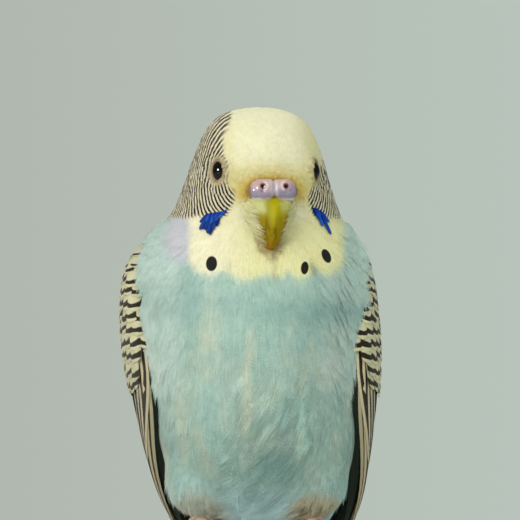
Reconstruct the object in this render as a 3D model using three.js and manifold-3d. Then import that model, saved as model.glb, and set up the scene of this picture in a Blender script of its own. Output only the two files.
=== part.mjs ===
// A life-size budgerigar on a short perch, held up by a plain display stand.
// Units are millimetres, +Z is up, and the bird looks along -Y.
// The bird is drawn with the top of its perch at height 0 and the perch's axis along X.

import * as THREE from "three";
import { mergeVertices } from "three/addons/utils/BufferGeometryUtils.js";
import Module from "manifold-3d";

const wasm = await Module();
wasm.setup();

const { clamp, degToRad, lerp, smoothstep } = THREE.MathUtils;
const point = (x, y, z) => new THREE.Vector3(x, y, z);

// Driving dimensions
const GAP = 0.3; // air between two pieces that touch
const PERCH_RADIUS = 6;
const PERCH_LENGTH = 78;
const PERCH_BEVEL = 0.8;
const BASE_RADIUS = 45;
const BASE_HEIGHT = 8;
// The rounded upper edge of the base: how far in from its rim and down from its top.
const BASE_EDGE = [[0, 3.4], [1.6, 2], [3, 0.8], [5, 0]];
const BASE_BEVEL = 0.8; // at its lower edge
const ROD_RADIUS = 3;
const TAIL_CLEARANCE = 5; // air under the tip of the tail
const BODY_FORWARD = 12; // the perch stands this far in front of the middle of the base

// The body from rump to crown as level rings.
// Each row holds height, half width, breast line, back line and centre line.
const BODY_ROWS = [
  [-14, 0, 27, 27, 2.8],
  [-10.5, 8, 18.5, 32, 2.6],
  [-2, 12.6, 7.6, 31.8, 2.1],
  [3, 15.8, -7, 31, 1.8],
  [10, 19, -17.6, 30, 1.3],
  [20, 21.6, -23.8, 28.5, 0.7],
  [32, 23, -26, 26, 0],
  [44, 24.6, -25.8, 23.3, -0.8],
  [55, 25.6, -23.5, 20.2, -1.4],
  [62, 24.2, -20.6, 17.8, -1],
  [67.5, 21.2, -18.4, 16.4, -0.2],
  [72, 18.4, -17.8, 15.5, 0.4],
  [77.5, 16.3, -18.4, 14.6, 0.5],
  [84, 14.1, -19, 12.6, 0.5],
  [90, 11.6, -16, 8.6, 0.5],
  [93.7, 7.4, -10.6, 3.8, 0.5],
  [95, 0, -3.2, -3.2, 0.5],
];
const RING_POWER = 2 / 2.15; // 1 gives elliptical rings, less gives squarer ones
const BODY_RINGS = 36;
const BODY_SIDES = 30;
const HEAD_YAW = degToRad(10); // the head looks a little to the bird's left
const HEAD_AXIS = { x: 0.5, y: -1 }; // the upright line that the head turns about
const NECK_TURNS = { low: 50, high: 67 }; // heights between which that turn builds up
const CUT_SIZE = 120;
const CUT_TILT = { front: -18, back: 16 }; // where the cuts below are measured
const HEAD_CUT = { front: 61, back: 76 };
const NECK_CUT = { front: 54, back: 69 };

// Beak, cere and eyes, before the head is turned. x is measured from the head's axis.
const CERE = { middle: 0.6, x: 2.6, out: 0.9, z: 76, rx: 2.8, ry: 2.5, rz: 2.7 };
const NOSTRIL = { x: 2.6, z: 77.1, radius: 0.6, depth: 1.5 };
const EYE = { x: 10.95, z: 80.55, azimuth: degToRad(66), radius: 3.3, sunk: 2.5 };
const LID = { major: 2.8, minor: 0.62 };

// Mandibles as level rings: height, half width, front line and back line.
const UPPER_MANDIBLE = [
  [75, 4.5, -21, -16],
  [73, 4.8, -22.6, -16],
  [70.5, 4.4, -23.4, -16],
  [68, 3.6, -23.2, -16.6],
  [65.5, 2.5, -22.2, -17.2],
  [63.5, 1.3, -20.8, -18.2],
  [62.6, 0.4, -20, -19.2],
];
const LOWER_MANDIBLE = [
  [71.5, 3.8, -19.6, -14],
  [69.5, 3.8, -20.2, -14],
  [67.5, 3.4, -20, -14.5],
  [65.8, 2.2, -19.2, -15.5],
];
const MANDIBLE_SIDES = 16;

// Folded wing as level rings of its inner face.
// Each row holds height, half width, front line and back line, then the bearings of the leading
// and trailing edges, in degrees from the bird's side towards its back.
const WING_ROWS = [
  [66.5, 22, -16.6, 17.4, 14, 34],
  [64, 23.8, -18.4, 18.2, -4, 46],
  [60, 25.5, -20.6, 19, -14, 57],
  [52, 26.4, -23.6, 22, -21, 68],
  [41, 26.4, -25.8, 25, -25, 77],
  [30, 25.9, -25.5, 27.2, -23, 82],
  [20, 25, -22, 29.4, -15, 85],
  [10, 23.2, -14, 31.2, -3, 86],
  [0, 20.6, -2, 32.8, 12, 86],
  [-10, 16.6, 8, 35.2, 30, 85],
  [-20, 11.6, 17, 38.2, 46, 84],
  [-29, 7, 25, 41, 56, 82],
];
// The flesh of the wing, from which its feathers grow: share down it and thickness.
const WING_CORE_ROWS = [
  [0, 0.6],
  [0.03, 1.2],
  [0.08, 1.9],
  [0.17, 2.1],
  [0.27, 1.7],
  [0.37, 1.1],
  [0.46, 0.6],
];
// Tiers of flight feathers and coverts, told by their outermost, middle and innermost vanes.
// Each row holds where the root lies (share down the wing, share across it), where the tip
// lies, the half width, and the height of root and tip over the wing's inner face.
const WING_TIERS = [
  {
    count: 6, // primaries
    stations: 5,
    rows: [
      [0.34, 0.07, 0.9, 0.14, 2.8, 0.62, 0.6],
      [0.37, 0.26, 0.99, 0.5, 3.1, 0.62, 0.75],
      [0.4, 0.45, 0.8, 0.76, 3.4, 0.62, 1],
    ],
  },
  {
    count: 5, // secondaries
    stations: 5,
    rows: [
      [0.32, 0.4, 0.72, 0.42, 4.2, 0.9, 1.7],
      [0.31, 0.66, 0.69, 0.67, 4.4, 0.9, 2],
      [0.3, 0.92, 0.64, 0.9, 4.4, 0.9, 2.1],
    ],
  },
  {
    count: 6, // greater coverts
    stations: 4,
    rows: [
      [0.22, 0.14, 0.46, 0.15, 4.2, 0.9, 2.1],
      [0.21, 0.5, 0.48, 0.53, 4.4, 0.9, 2.5],
      [0.2, 0.88, 0.43, 0.89, 4.2, 0.9, 2.5],
    ],
  },
  {
    count: 6, // median coverts
    stations: 4,
    rows: [
      [0.12, 0.14, 0.3, 0.14, 4.2, 1.3, 2.5],
      [0.11, 0.5, 0.32, 0.52, 4.4, 1.3, 2.9],
      [0.1, 0.88, 0.28, 0.88, 4.2, 1.2, 2.7],
    ],
  },
  {
    count: 2, // feathers of the thumb, along the leading edge
    stations: 4,
    rows: [
      [0.18, 0.02, 0.4, 0.02, 2.4, 0.8, 1.2],
      [0.26, 0.03, 0.54, 0.04, 2.4, 0.6, 1],
    ],
  },
];
const WING_CORE_COLUMNS = 7;
const WING_CORE_EDGE = 0.01; // the core stops this share short of the wing's edges
const VANE_THICKNESS = 0.52;
const VANE_ROLL = 0.58; // how far each vane's leading edge is raised and its other edge sunk
const VANE_ROOT_WIDTH = 0.55; // share of the full width at the root
const VANE_ROOT_GAIN = 1.4; // how fast it widens from there
const VANE_TIP_WIDTH = 0.22; // share of the full width at the tip
const VANE_TIP_THICKNESS = 0.6;
const VANE_TIP_POWER = 5; // the higher, the later the taper starts
const VANE_CROWDING = 1.5; // stations lie closer together at the tip

// Tail, along its own line from its root
const TAIL_ROOT = point(2.6, 27.5, -6);
const TAIL_PITCH = degToRad(72); // below the horizon
const TAIL_LEAN = 0.05; // sideways drift for each millimetre of tail
const TAIL_LENGTH = 80;
// The core from which its feathers grow: distance along the tail, half width, half thickness.
const TAIL_CORE_ROWS = [
  [-8, 6.2, 3],
  [4, 7, 3],
  [16, 6, 2],
  [28, 4, 1.1],
];
// Pairs of tail feathers from the middle one out: length and distance from the middle line.
const TAIL_FEATHERS = [
  [TAIL_LENGTH, 1.1],
  [64, 2.8],
  [54, 4],
  [45, 4.8],
  [37, 5.5],
  [30, 6.1],
];
const TAIL_CORE_SIDES = 12;
const TAIL_FEATHER_HALF_WIDTH = 3.5;
const TAIL_ROOT_SPREAD = 0.7; // share of their spread that the feathers have at the root
const TAIL_STATIONS = 4;
const TAIL_STEP = 0.33; // each tail feather lies this much lower than the one before
// Coverts over and under the tail: how many, root, shortest and longest tip, height of root and
// tip, half width and spread to each side.
const TAIL_COVERTS = [
  { count: 5, root: -5, tips: [18, 29], heights: [1.6, 3], halfWidth: 3.4, spread: 5.2 },
  { count: 4, root: -5, tips: [24, 34], heights: [-2.2, -3.4], halfWidth: 3.8, spread: 4.6 },
];
const TAIL_COVERT_ARCH = 0.35;

// Legs and feet
const FEET_X = { right: -11.9, left: 13 };
const THIGH = { y: -3.2, z: 11.4, rx: 7.8, ry: 10.6, rz: 8 };
const FOOT_PAD = { y: -1, z: 2.1, rx: 2.4, ry: 2.8, rz: 1.9 };
const TARSUS = { y: 1.5, radius: 1.5, bottom: 1.6, top: 9, sides: 8 };
const TOE_RADIUS = 1.25;
const TOE = { taper: 0.2, stations: 6, sides: 7 };
const CLAW_GAP = GAP + 0.1;
const CLAW = {
  radius: 0.8, turn: degToRad(34), taper: 0.8, spread: 0.15, sink: 0.5, stations: 4, sides: 6,
};
// Each row holds the bearings at which a toe starts and ends round the perch, from its top
// towards the bird's front, and how far it spreads sideways to its tip.
const TOES = [
  [8, 104, -1.6, -3.2],
  [8, 90, 1.6, 3],
  [-10, -98, -1.4, -2.8],
  [-10, -76, 1.4, 2.6],
];
const FOOT_ROOM = 4.4; // height above the perch kept free for each foot
const FOOT_WIDTH = 11;

// Heights that follow from these
const tailReach = TAIL_LENGTH * Math.sin(TAIL_PITCH) - TAIL_ROOT.z;
const PERCH_TOP = BASE_HEIGHT + TAIL_CLEARANCE + tailReach;

// Looks of the materials: colour, roughness and metalness
const LOOKS = {
  cream_feather: [0xf1ecc0, 0.8, 0],
  blue_feather: [0x93bdb9, 0.8, 0],
  barred_feather: [0xcdbf9c, 0.75, 0],
  tail_feather: [0x3d5d8c, 0.7, 0],
  cere: [0xb9aec6, 0.35, 0],
  horn: [0xb3a52c, 0.4, 0],
  eye: [0x0a0706, 0.08, 0],
  bare_skin: [0xdcae9a, 0.6, 0],
  claw: [0x6d5c52, 0.45, 0],
  perch_wood: [0xa98358, 0.75, 0],
  stand_wood: [0x4a3020, 0.5, 0],
  stand_metal: [0xb8a06a, 0.3, 1],
};

// Solids

// A closed geometry as a solid, turned right side out.
function solid(geometry) {
  const bare = new THREE.BufferGeometry();
  bare.setAttribute("position", geometry.getAttribute("position"));
  bare.setIndex(geometry.index);
  const merged = mergeVertices(bare, 1e-4);
  const vertProperties = new Float32Array(merged.attributes.position.array);
  const triVerts = new Uint32Array(merged.index.array);
  const made = new wasm.Manifold(new wasm.Mesh({ numProp: 3, vertProperties, triVerts }));
  if (made.volume() > 0) return made;
  const turned = triVerts.map((v, i) => triVerts[i - (i % 3) + 2 - (i % 3)]);
  return new wasm.Manifold(new wasm.Mesh({ numProp: 3, vertProperties, triVerts: turned }));
}

function geometryOf(manifold) {
  const { numProp, numVert, vertProperties, triVerts } = manifold.getMesh();
  const positions = new Float32Array(numVert * 3);
  for (let i = 0; i < numVert; i++) {
    positions.set(vertProperties.subarray(i * numProp, i * numProp + 3), i * 3);
  }
  const geometry = new THREE.BufferGeometry();
  geometry.setAttribute("position", new THREE.BufferAttribute(positions, 3));
  geometry.setIndex(new THREE.BufferAttribute(new Uint32Array(triVerts), 1));
  geometry.computeVertexNormals();
  return geometry;
}

// A smooth solid with its surface moved out along its normals.
function grown(manifold, by = GAP) {
  const geometry = geometryOf(manifold);
  const { position, normal } = geometry.attributes;
  for (let i = 0; i < position.count; i++) {
    const moved = point().fromBufferAttribute(normal, i).multiplyScalar(by);
    moved.add(point().fromBufferAttribute(position, i));
    position.setXYZ(i, moved.x, moved.y, moved.z);
  }
  return solid(geometry);
}

const joined = (solids) => solids.reduce((a, b) => a.add(b));
const without = (body, tools) => tools.reduce((a, b) => a.subtract(b), body);
const pieces = (manifold) => manifold.decompose().sort((a, b) => b.volume() - a.volume());
const largest = (manifold) => pieces(manifold)[0];

function fromTriangles(points, triangles) {
  const geometry = new THREE.BufferGeometry();
  const flat = points.flatMap((p) => [p.x, p.y, p.z]);
  geometry.setAttribute("position", new THREE.Float32BufferAttribute(flat, 3));
  geometry.setIndex(triangles.flat());
  return solid(geometry);
}

// A closed surface through rings with equally many points. Each end closes on a middle point.
function loft(rings, ends = [middleOf(rings[0]), middleOf(rings.at(-1))]) {
  const sides = rings[0].length;
  const points = [...rings.flat(), ...ends];
  const [start, finish] = [points.length - 2, points.length - 1];
  const triangles = [];
  for (let i = 0; i < sides; i++) {
    const j = (i + 1) % sides;
    triangles.push([start, j, i]);
    for (let r = 0; r + 1 < rings.length; r++) {
      const at = r * sides;
      triangles.push([at + i, at + j, at + sides + j], [at + i, at + sides + j, at + sides + i]);
    }
    const last = (rings.length - 1) * sides;
    triangles.push([finish, last + i, last + j]);
  }
  return fromTriangles(points, triangles);
}

function middleOf(ring) {
  return ring.reduce((sum, p) => sum.add(p), point()).divideScalar(ring.length);
}

// A closed plate between two grids of points, split into triangles alike on both faces.
function plate(top, bottom) {
  const rows = top.length;
  const columns = top[0].length;
  const under = rows * columns;
  const triangles = [];
  const quad = (a, b, c, d) => triangles.push([a, b, c], [a, c, d]);
  for (let r = 0; r + 1 < rows; r++) {
    for (let c = 0; c + 1 < columns; c++) {
      const a = r * columns + c;
      const [b, d] = [a + 1, a + columns];
      quad(a, b, d + 1, d);
      triangles.push([under + a, under + d + 1, under + b], [under + a, under + d, under + d + 1]);
    }
    const left = r * columns;
    const right = left + columns - 1;
    quad(left, left + columns, under + left + columns, under + left);
    quad(right + columns, right, under + right, under + right + columns);
  }
  for (let c = 0; c + 1 < columns; c++) {
    const last = under - columns + c;
    quad(c + 1, c, under + c, under + c + 1);
    quad(last, last + 1, under + last + 1, under + last);
  }
  return fromTriangles([...top.flat(), ...bottom.flat()], triangles);
}

// A round tube along points, its radius a function of the share of the way.
function tube(points, radius, sides, reference) {
  const rings = points.map((p, i) => {
    const ahead = points[Math.min(i + 1, points.length - 1)];
    const along = ahead.clone().sub(points[Math.max(i - 1, 0)]).normalize();
    const across = reference.clone().addScaledVector(along, -reference.dot(along)).normalize();
    const up = along.clone().cross(across);
    const r = radius(i / (points.length - 1));
    return range(sides).map((k) => {
      const angle = (2 * Math.PI * k) / sides;
      const offset = across.clone().multiplyScalar(Math.cos(angle) * r);
      return offset.addScaledVector(up, Math.sin(angle) * r).add(p);
    });
  });
  return loft(rings);
}

const range = (count) => Array.from({ length: count }, (_, i) => i);
const shares = (count) => range(count).map((i) => i / (count - 1));

function ellipsoid({ x, y, z, rx, ry, rz }, across = 16, up = 8) {
  const geometry = new THREE.SphereGeometry(1, across, up).rotateX(Math.PI / 2);
  return solid(geometry.scale(rx, ry, rz).translate(x, y, z));
}

const ROUND_SIDES = 24;

function cylinderAlongX(radius, length, x, z) {
  const geometry = new THREE.CylinderGeometry(radius, radius, length, ROUND_SIDES);
  geometry.rotateZ(Math.PI / 2);
  return solid(geometry.translate(x, 0, z));
}

// Rows of numbers as smooth curves

const signedPower = (value, power) => Math.sign(value) * Math.abs(value) ** power;

// Rows with one more at each end, so that a curve through them reaches the outer ones.
function padded(rows, beyond = (a, b) => a.map((v, k) => 2 * v - b[k])) {
  return [beyond(rows[0], rows[1]), ...rows, beyond(rows.at(-1), rows.at(-2))];
}

// The same for rings that close on a pole.
const overPole = (pole, [z, halfWidth, front, back, x]) => [z, -halfWidth, back, front, x];

// The row at a place counted from 0 at the first row to 1 at the last.
function through(paddedRows, share) {
  const at = share * (paddedRows.length - 3);
  const i = Math.min(Math.floor(at), paddedRows.length - 4);
  const t = at - i;
  return paddedRows[i + 1].map((b, k) => {
    const [a, c, d] = [paddedRows[i][k], paddedRows[i + 2][k], paddedRows[i + 3][k]];
    return b + 0.5 * t * (c - a + t * (2 * a - 5 * b + 4 * c - d + t * (3 * (b - c) + d - a)));
  });
}

const HALVINGS = 30;

// The row at a value of the rows' first number.
function rowAt(paddedRows, value) {
  const rising = paddedRows.at(-2)[0] > paddedRows[1][0];
  let [low, high] = [0, 1];
  for (let i = 0; i < HALVINGS; i++) {
    const middle = (low + high) / 2;
    if (through(paddedRows, middle)[0] < value === rising) low = middle;
    else high = middle;
  }
  return through(paddedRows, low);
}

const BODY = padded(BODY_ROWS, overPole);
const WING = padded(WING_ROWS);

// The centre line of body and tail at a height.
function lean(z) {
  const lowest = BODY_ROWS[1];
  return z > lowest[0] ? rowAt(BODY, z)[4] : lowest[4] + TAIL_LEAN * (lowest[0] - z);
}

// Head turn

const headTurn = new THREE.Matrix4()
  .makeTranslation(HEAD_AXIS.x, HEAD_AXIS.y, 0)
  .multiply(new THREE.Matrix4().makeRotationZ(HEAD_YAW))
  .multiply(new THREE.Matrix4().makeTranslation(-HEAD_AXIS.x, -HEAD_AXIS.y, 0));

const withHead = (manifold) => manifold.transform(headTurn.elements);

// A point of the body, turned with the head by the share that its height has.
function turned(p) {
  const share = smoothstep(p.z, NECK_TURNS.low, NECK_TURNS.high);
  const axis = point(HEAD_AXIS.x, HEAD_AXIS.y, 0);
  return p.sub(axis).applyAxisAngle(point(0, 0, 1), HEAD_YAW * share).add(axis);
}

// Body

// A point of a level ring. Bearing 0 is the side, and a quarter turn on is the back.
function ringPoint([z, halfWidth, front, back, x], bearing, side = 1) {
  const across = halfWidth * signedPower(Math.cos(bearing), RING_POWER);
  const along = ((back - front) / 2) * signedPower(Math.sin(bearing), RING_POWER);
  return point(x + side * across, (front + back) / 2 + along, z);
}

function wholeBody() {
  const rings = shares(BODY_RINGS + 2).slice(1, -1).map((share) => {
    const row = through(BODY, share);
    return range(BODY_SIDES).map((k) => turned(ringPoint(row, (2 * Math.PI * k) / BODY_SIDES)));
  });
  const poles = [BODY_ROWS[0], BODY_ROWS.at(-1)].map((row) => turned(point(row[4], row[2], row[0])));
  return loft(rings, poles);
}

// The front surface of the head before its turn, at a distance from its axis and a height.
function faceFront(fromAxis, z) {
  const [, halfWidth, front, back] = rowAt(BODY, z);
  const share = Math.abs(fromAxis / halfWidth) ** (2 / RING_POWER);
  return (front + back) / 2 - ((back - front) / 2) * (1 - share) ** (RING_POWER / 2);
}

// A thin slab that parts the body.
function cut({ front, back }) {
  const tilt = Math.atan2(back - front, CUT_TILT.back - CUT_TILT.front);
  const geometry = new THREE.BoxGeometry(CUT_SIZE, CUT_SIZE, GAP).rotateX(tilt);
  return solid(geometry.translate(0, (CUT_TILT.front + CUT_TILT.back) / 2, (front + back) / 2));
}

// Face

function eyeFrame(side) {
  const normal = point(side * Math.sin(EYE.azimuth), -Math.cos(EYE.azimuth), 0);
  const surface = point(HEAD_AXIS.x + side * EYE.x, faceFront(EYE.x, EYE.z), EYE.z);
  return { normal, surface, centre: surface.clone().addScaledVector(normal, -EYE.sunk) };
}

function eyeball(side, radius) {
  const { centre } = eyeFrame(side);
  return ellipsoid({ ...centre, rx: radius, ry: radius, rz: radius }, 16, 8);
}

function lid(side) {
  const { normal, surface } = eyeFrame(side);
  const geometry = new THREE.TorusGeometry(LID.major, LID.minor, 6, 18);
  geometry.applyQuaternion(new THREE.Quaternion().setFromUnitVectors(point(0, 0, 1), normal));
  return solid(geometry.translate(surface.x, surface.y, surface.z));
}

function cereLobes() {
  const y = faceFront(CERE.x, CERE.z) - CERE.out;
  const middle = HEAD_AXIS.x + CERE.middle;
  const lobes = [-1, 1].map((side) => ellipsoid({ ...CERE, x: middle + side * CERE.x, y }));
  return joined(lobes);
}

function nostril(side) {
  const { x, z, radius, depth } = NOSTRIL;
  const front = faceFront(CERE.x, CERE.z) - CERE.out - CERE.ry;
  const geometry = new THREE.CylinderGeometry(radius, radius, 2 * depth, 8).rotateX(Math.PI / 2);
  return solid(geometry.translate(HEAD_AXIS.x + CERE.middle + side * x, front, z));
}

function mandible(rows) {
  const rings = rows.map(([z, halfWidth, front, back]) =>
    range(MANDIBLE_SIDES).map((k) => {
      const bearing = (2 * Math.PI * k) / MANDIBLE_SIDES;
      return ringPoint([z, halfWidth, front, back, HEAD_AXIS.x], bearing);
    }));
  return loft(rings);
}

// Legs

// A place round the perch. Bearing 0 is its top, and a quarter turn on is the bird's front.
function roundPerch(x, bearing, radius) {
  return point(x, -radius * Math.sin(bearing), radius * Math.cos(bearing) - PERCH_RADIUS);
}

const toeCircle = PERCH_RADIUS + GAP + TOE_RADIUS;

function toe(footX, [start, end, nearX, farX]) {
  const path = shares(TOE.stations).map((share) =>
    roundPerch(footX + lerp(nearX, farX, share), degToRad(lerp(start, end, share)), toeCircle));
  const radius = (share) => TOE_RADIUS * (1 - TOE.taper * share);
  return tube(path, radius, TOE.sides, point(1, 0, 0));
}

function claw(footX, [, end, , farX]) {
  const onwards = Math.sign(end);
  const gap = CLAW_GAP / toeCircle;
  const path = shares(CLAW.stations).map((share) => {
    const bearing = degToRad(end) + onwards * (gap + CLAW.turn * share);
    const x = footX + farX * (1 + CLAW.spread * share);
    return roundPerch(x, bearing, toeCircle - CLAW.sink * share);
  });
  const radius = (share) => CLAW.radius * (1 - CLAW.taper * share);
  return tube(path, radius, CLAW.sides, point(1, 0, 0));
}

function foot(footX) {
  const pad = ellipsoid({ ...FOOT_PAD, x: footX }, 10, 6);
  const shank = [point(footX, 0, TARSUS.bottom), point(footX, TARSUS.y, TARSUS.top)];
  const tarsus = tube(shank, () => TARSUS.radius, TARSUS.sides, point(1, 0, 0));
  const whole = joined([pad, tarsus, ...TOES.map((row) => toe(footX, row))]);
  return whole.intersect(footRoom(footX, GAP));
}

// The space round the perch that a foot keeps free.
const footRoom = (footX, less = 0) =>
  cylinderAlongX(PERCH_RADIUS + FOOT_ROOM - less, FOOT_WIDTH - less, footX, -PERCH_RADIUS);

// Feathers

// A thin vane that tapers to a rounded tip. placeAt gives a place from the share along the vane,
// the distance from its shaft and the height over its underside.
function vane(halfWidth, stations, placeAt) {
  const along = shares(stations).map((t) => 1 - (1 - t) ** VANE_CROWDING);
  const face = (thickness) => along.map((share) => {
    const rootTaper = Math.min(1, VANE_ROOT_WIDTH + VANE_ROOT_GAIN * share);
    const tipTaper = lerp(1, VANE_TIP_WIDTH, share ** VANE_TIP_POWER);
    const height = thickness * lerp(1, VANE_TIP_THICKNESS, share ** VANE_TIP_POWER);
    return [-1, 1].map((edge) => placeAt(share, edge * halfWidth * rootTaper * tipTaper, height));
  });
  return plate(face(VANE_THICKNESS), face(0));
}

// Wings

// A place on a folded wing: share of the way down it, share of the way from its leading to its
// trailing edge, and height over its inner face.
function onWing(side, down, across, height) {
  const z = lerp(WING_ROWS[0][0], WING_ROWS.at(-1)[0], down);
  const [, halfWidth, front, back, leading, trailing] = rowAt(WING, z);
  const bearing = degToRad(lerp(leading, trailing, across));
  return ringPoint([z, halfWidth + height, front - height, back + height, lean(z)], bearing, side);
}

function wingChord(down) {
  const places = shares(5).map((across) => onWing(1, down, across, 0));
  return places.slice(1).reduce((sum, p, i) => sum + p.distanceTo(places[i]), 0);
}

function wingVane(side, stations, row) {
  const [rootDown, rootAcross, tipDown, tipAcross, halfWidth, rootUp, tipUp] = row;
  return vane(halfWidth, stations, (share, fromShaft, height) => {
    const down = lerp(rootDown, tipDown, share);
    const across = lerp(rootAcross, tipAcross, share) + fromShaft / wingChord(down);
    const roll = (-VANE_ROLL * fromShaft) / halfWidth;
    const up = Math.max(0, lerp(rootUp, tipUp, share) + roll) + height;
    return onWing(side, down, clamp(across, 0, 1), up);
  });
}

function wingCore(side) {
  const columns = shares(WING_CORE_COLUMNS).map((across) =>
    lerp(WING_CORE_EDGE, 1 - WING_CORE_EDGE, across));
  const face = (height) => WING_CORE_ROWS.map(([down, thickness]) =>
    columns.map((across) => onWing(side, down, across, height(thickness))));
  return plate(face((thickness) => thickness), face(() => 0));
}

function wing(side) {
  const vanes = WING_TIERS.flatMap(({ count, stations, rows }) =>
    shares(count).map((share) => wingVane(side, stations, through(padded(rows), share))));
  return joined([wingCore(side), ...vanes]);
}

// Tail

const tailAlong = point(TAIL_LEAN, Math.cos(TAIL_PITCH), -Math.sin(TAIL_PITCH)).normalize();
const tailAcross = point(1, 0, 0).addScaledVector(tailAlong, -tailAlong.x).normalize();
const tailUp = tailAlong.clone().cross(tailAcross).negate();

function onTail(along, across, up) {
  const place = TAIL_ROOT.clone().addScaledVector(tailAlong, along);
  return place.addScaledVector(tailAcross, across).addScaledVector(tailUp, up);
}

function tailCore() {
  const rings = TAIL_CORE_ROWS.map(([along, halfWidth, halfThickness]) =>
    range(TAIL_CORE_SIDES).map((k) => {
      const angle = (2 * Math.PI * k) / TAIL_CORE_SIDES;
      return onTail(along, halfWidth * Math.cos(angle), halfThickness * Math.sin(angle));
    }));
  return loft(rings);
}

function tailFeather(pair, side) {
  const [length, aside] = TAIL_FEATHERS[pair];
  const order = 2 * pair + (side > 0 ? 0 : 1);
  const up = TAIL_STEP * (TAIL_FEATHERS.length - 1 - order);
  return vane(TAIL_FEATHER_HALF_WIDTH, TAIL_STATIONS, (share, fromShaft, height) => {
    const across = side * aside * lerp(TAIL_ROOT_SPREAD, 1, share) + fromShaft;
    return onTail(lerp(0, length, share), across, up + height);
  });
}

function tailCovert({ root, tips, heights, halfWidth, spread }, share) {
  const aside = lerp(-1, 1, share);
  const tip = lerp(tips[1], tips[0], aside ** 2);
  return vane(halfWidth, TAIL_STATIONS, (along, fromShaft, height) => {
    const across = spread * aside * lerp(TAIL_ROOT_SPREAD, 1, along) + fromShaft;
    const arch = 1 - TAIL_COVERT_ARCH * (across / spread) ** 2;
    return onTail(lerp(root, tip, along), across, lerp(...heights, along) * arch + height);
  });
}

function tail() {
  const feathers = range(TAIL_FEATHERS.length).flatMap((pair) =>
    [-1, 1].map((side) => tailFeather(pair, side)));
  const coverts = TAIL_COVERTS.flatMap((tier) =>
    shares(tier.count).map((share) => tailCovert(tier, share)));
  return joined([tailCore(), ...feathers, ...coverts]);
}

// Perch and stand

function perch() {
  const end = PERCH_LENGTH / 2;
  const profile = [
    [0, -end], [PERCH_RADIUS - PERCH_BEVEL, -end], [PERCH_RADIUS, PERCH_BEVEL - end],
    [PERCH_RADIUS, end - PERCH_BEVEL], [PERCH_RADIUS - PERCH_BEVEL, end], [0, end],
  ].map(([r, at]) => new THREE.Vector2(r, at));
  const geometry = new THREE.LatheGeometry(profile, 32).rotateZ(Math.PI / 2);
  return solid(geometry.translate(0, 0, -PERCH_RADIUS));
}

function rod() {
  const bottom = BASE_HEIGHT + GAP - PERCH_TOP;
  const top = -PERCH_RADIUS;
  const geometry = new THREE.CylinderGeometry(ROD_RADIUS, ROD_RADIUS, top - bottom, ROUND_SIDES);
  geometry.rotateX(Math.PI / 2).translate(0, 0, (top + bottom) / 2);
  const room = cylinderAlongX(PERCH_RADIUS + GAP, PERCH_LENGTH, 0, -PERCH_RADIUS);
  return solid(geometry).subtract(room);
}

function base() {
  const edge = BASE_EDGE.map(([inwards, below]) => [BASE_RADIUS - inwards, BASE_HEIGHT - below]);
  const profile = [
    [0, 0], [BASE_RADIUS - BASE_BEVEL, 0], [BASE_RADIUS, BASE_BEVEL], ...edge, [0, BASE_HEIGHT],
  ].map(([radius, height]) => new THREE.Vector2(radius, height));
  const geometry = new THREE.LatheGeometry(profile, 40).rotateX(Math.PI / 2);
  return solid(geometry.translate(0, BODY_FORWARD, -PERCH_TOP));
}

// The whole bird on its stand
const bird = new THREE.Group();
bird.name = "bird";
bird.position.set(0, -BODY_FORWARD, PERCH_TOP);

function add(name, manifold, look) {
  const [color, roughness, metalness] = LOOKS[look];
  const material = new THREE.MeshStandardMaterial({ color, roughness, metalness });
  const mesh = new THREE.Mesh(geometryOf(largest(manifold)), material);
  mesh.name = name;
  bird.add(mesh);
}

const body = wholeBody();
const bodyRoom = grown(body);
const sides = { right: -1, left: 1 };
const feetRoom = Object.values(FEET_X).map((footX) => footRoom(footX));
const thighs = Object.values(FEET_X).map((footX) => ellipsoid({ ...THIGH, x: footX }));
const thighsRoom = thighs.map((thigh) => grown(thigh));
const perchRoom = cylinderAlongX(PERCH_RADIUS + 2 * GAP, PERCH_LENGTH + 2, 0, -PERCH_RADIUS);

// Face pieces, each cut clear of those under it
const cereWhole = withHead(cereLobes());
const cere = without(cereWhole, [bodyRoom, ...[-1, 1].map((side) => withHead(nostril(side)))]);
const lowerWhole = withHead(mandible(LOWER_MANDIBLE));
const upperWhole = withHead(mandible(UPPER_MANDIBLE));
add("cere", cere, "cere");
add("beak_lower", lowerWhole.subtract(bodyRoom), "horn");
add("beak_upper", without(upperWhole, [bodyRoom, grown(cereWhole), grown(lowerWhole)]), "horn");

const lids = [-1, 1].map((side) => withHead(lid(side)));
const sockets = [-1, 1].map((side) => withHead(eyeball(side, EYE.radius + GAP)));
const cuts = [cut(HEAD_CUT), cut(NECK_CUT), perchRoom, ...feetRoom, ...thighsRoom];
const [torso, head, neck] = pieces(without(body, cuts));
add("head", without(joined([head, ...lids]), sockets), "cream_feather");
add("neck", neck, "blue_feather");
add("torso", torso, "blue_feather");

Object.entries(sides).forEach(([name, side], i) => {
  const footX = FEET_X[name];
  add(`eye_${name}`, withHead(eyeball(side, EYE.radius)), "eye");
  add(`wing_${name}`, without(wing(side), [bodyRoom, ...thighsRoom]), "barred_feather");
  add(`thigh_${name}`, thighs[i].subtract(feetRoom[i]), "blue_feather");
  add(`foot_${name}`, foot(footX), "bare_skin");
  TOES.forEach((row, k) => add(`claw_${name}_${k + 1}`, claw(footX, row), "claw"));
});

add("tail", tail().subtract(bodyRoom), "tail_feather");
add("perch", perch(), "perch_wood");
add("stand_rod", rod(), "stand_metal");
add("stand_base", base(), "stand_wood");

const model = new THREE.Group();
model.add(bird);

export default model;
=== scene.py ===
import math

import bpy
import numpy as np
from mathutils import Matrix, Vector
from mathutils.bvhtree import BVHTree
from numpy.polynomial import chebyshev


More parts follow.
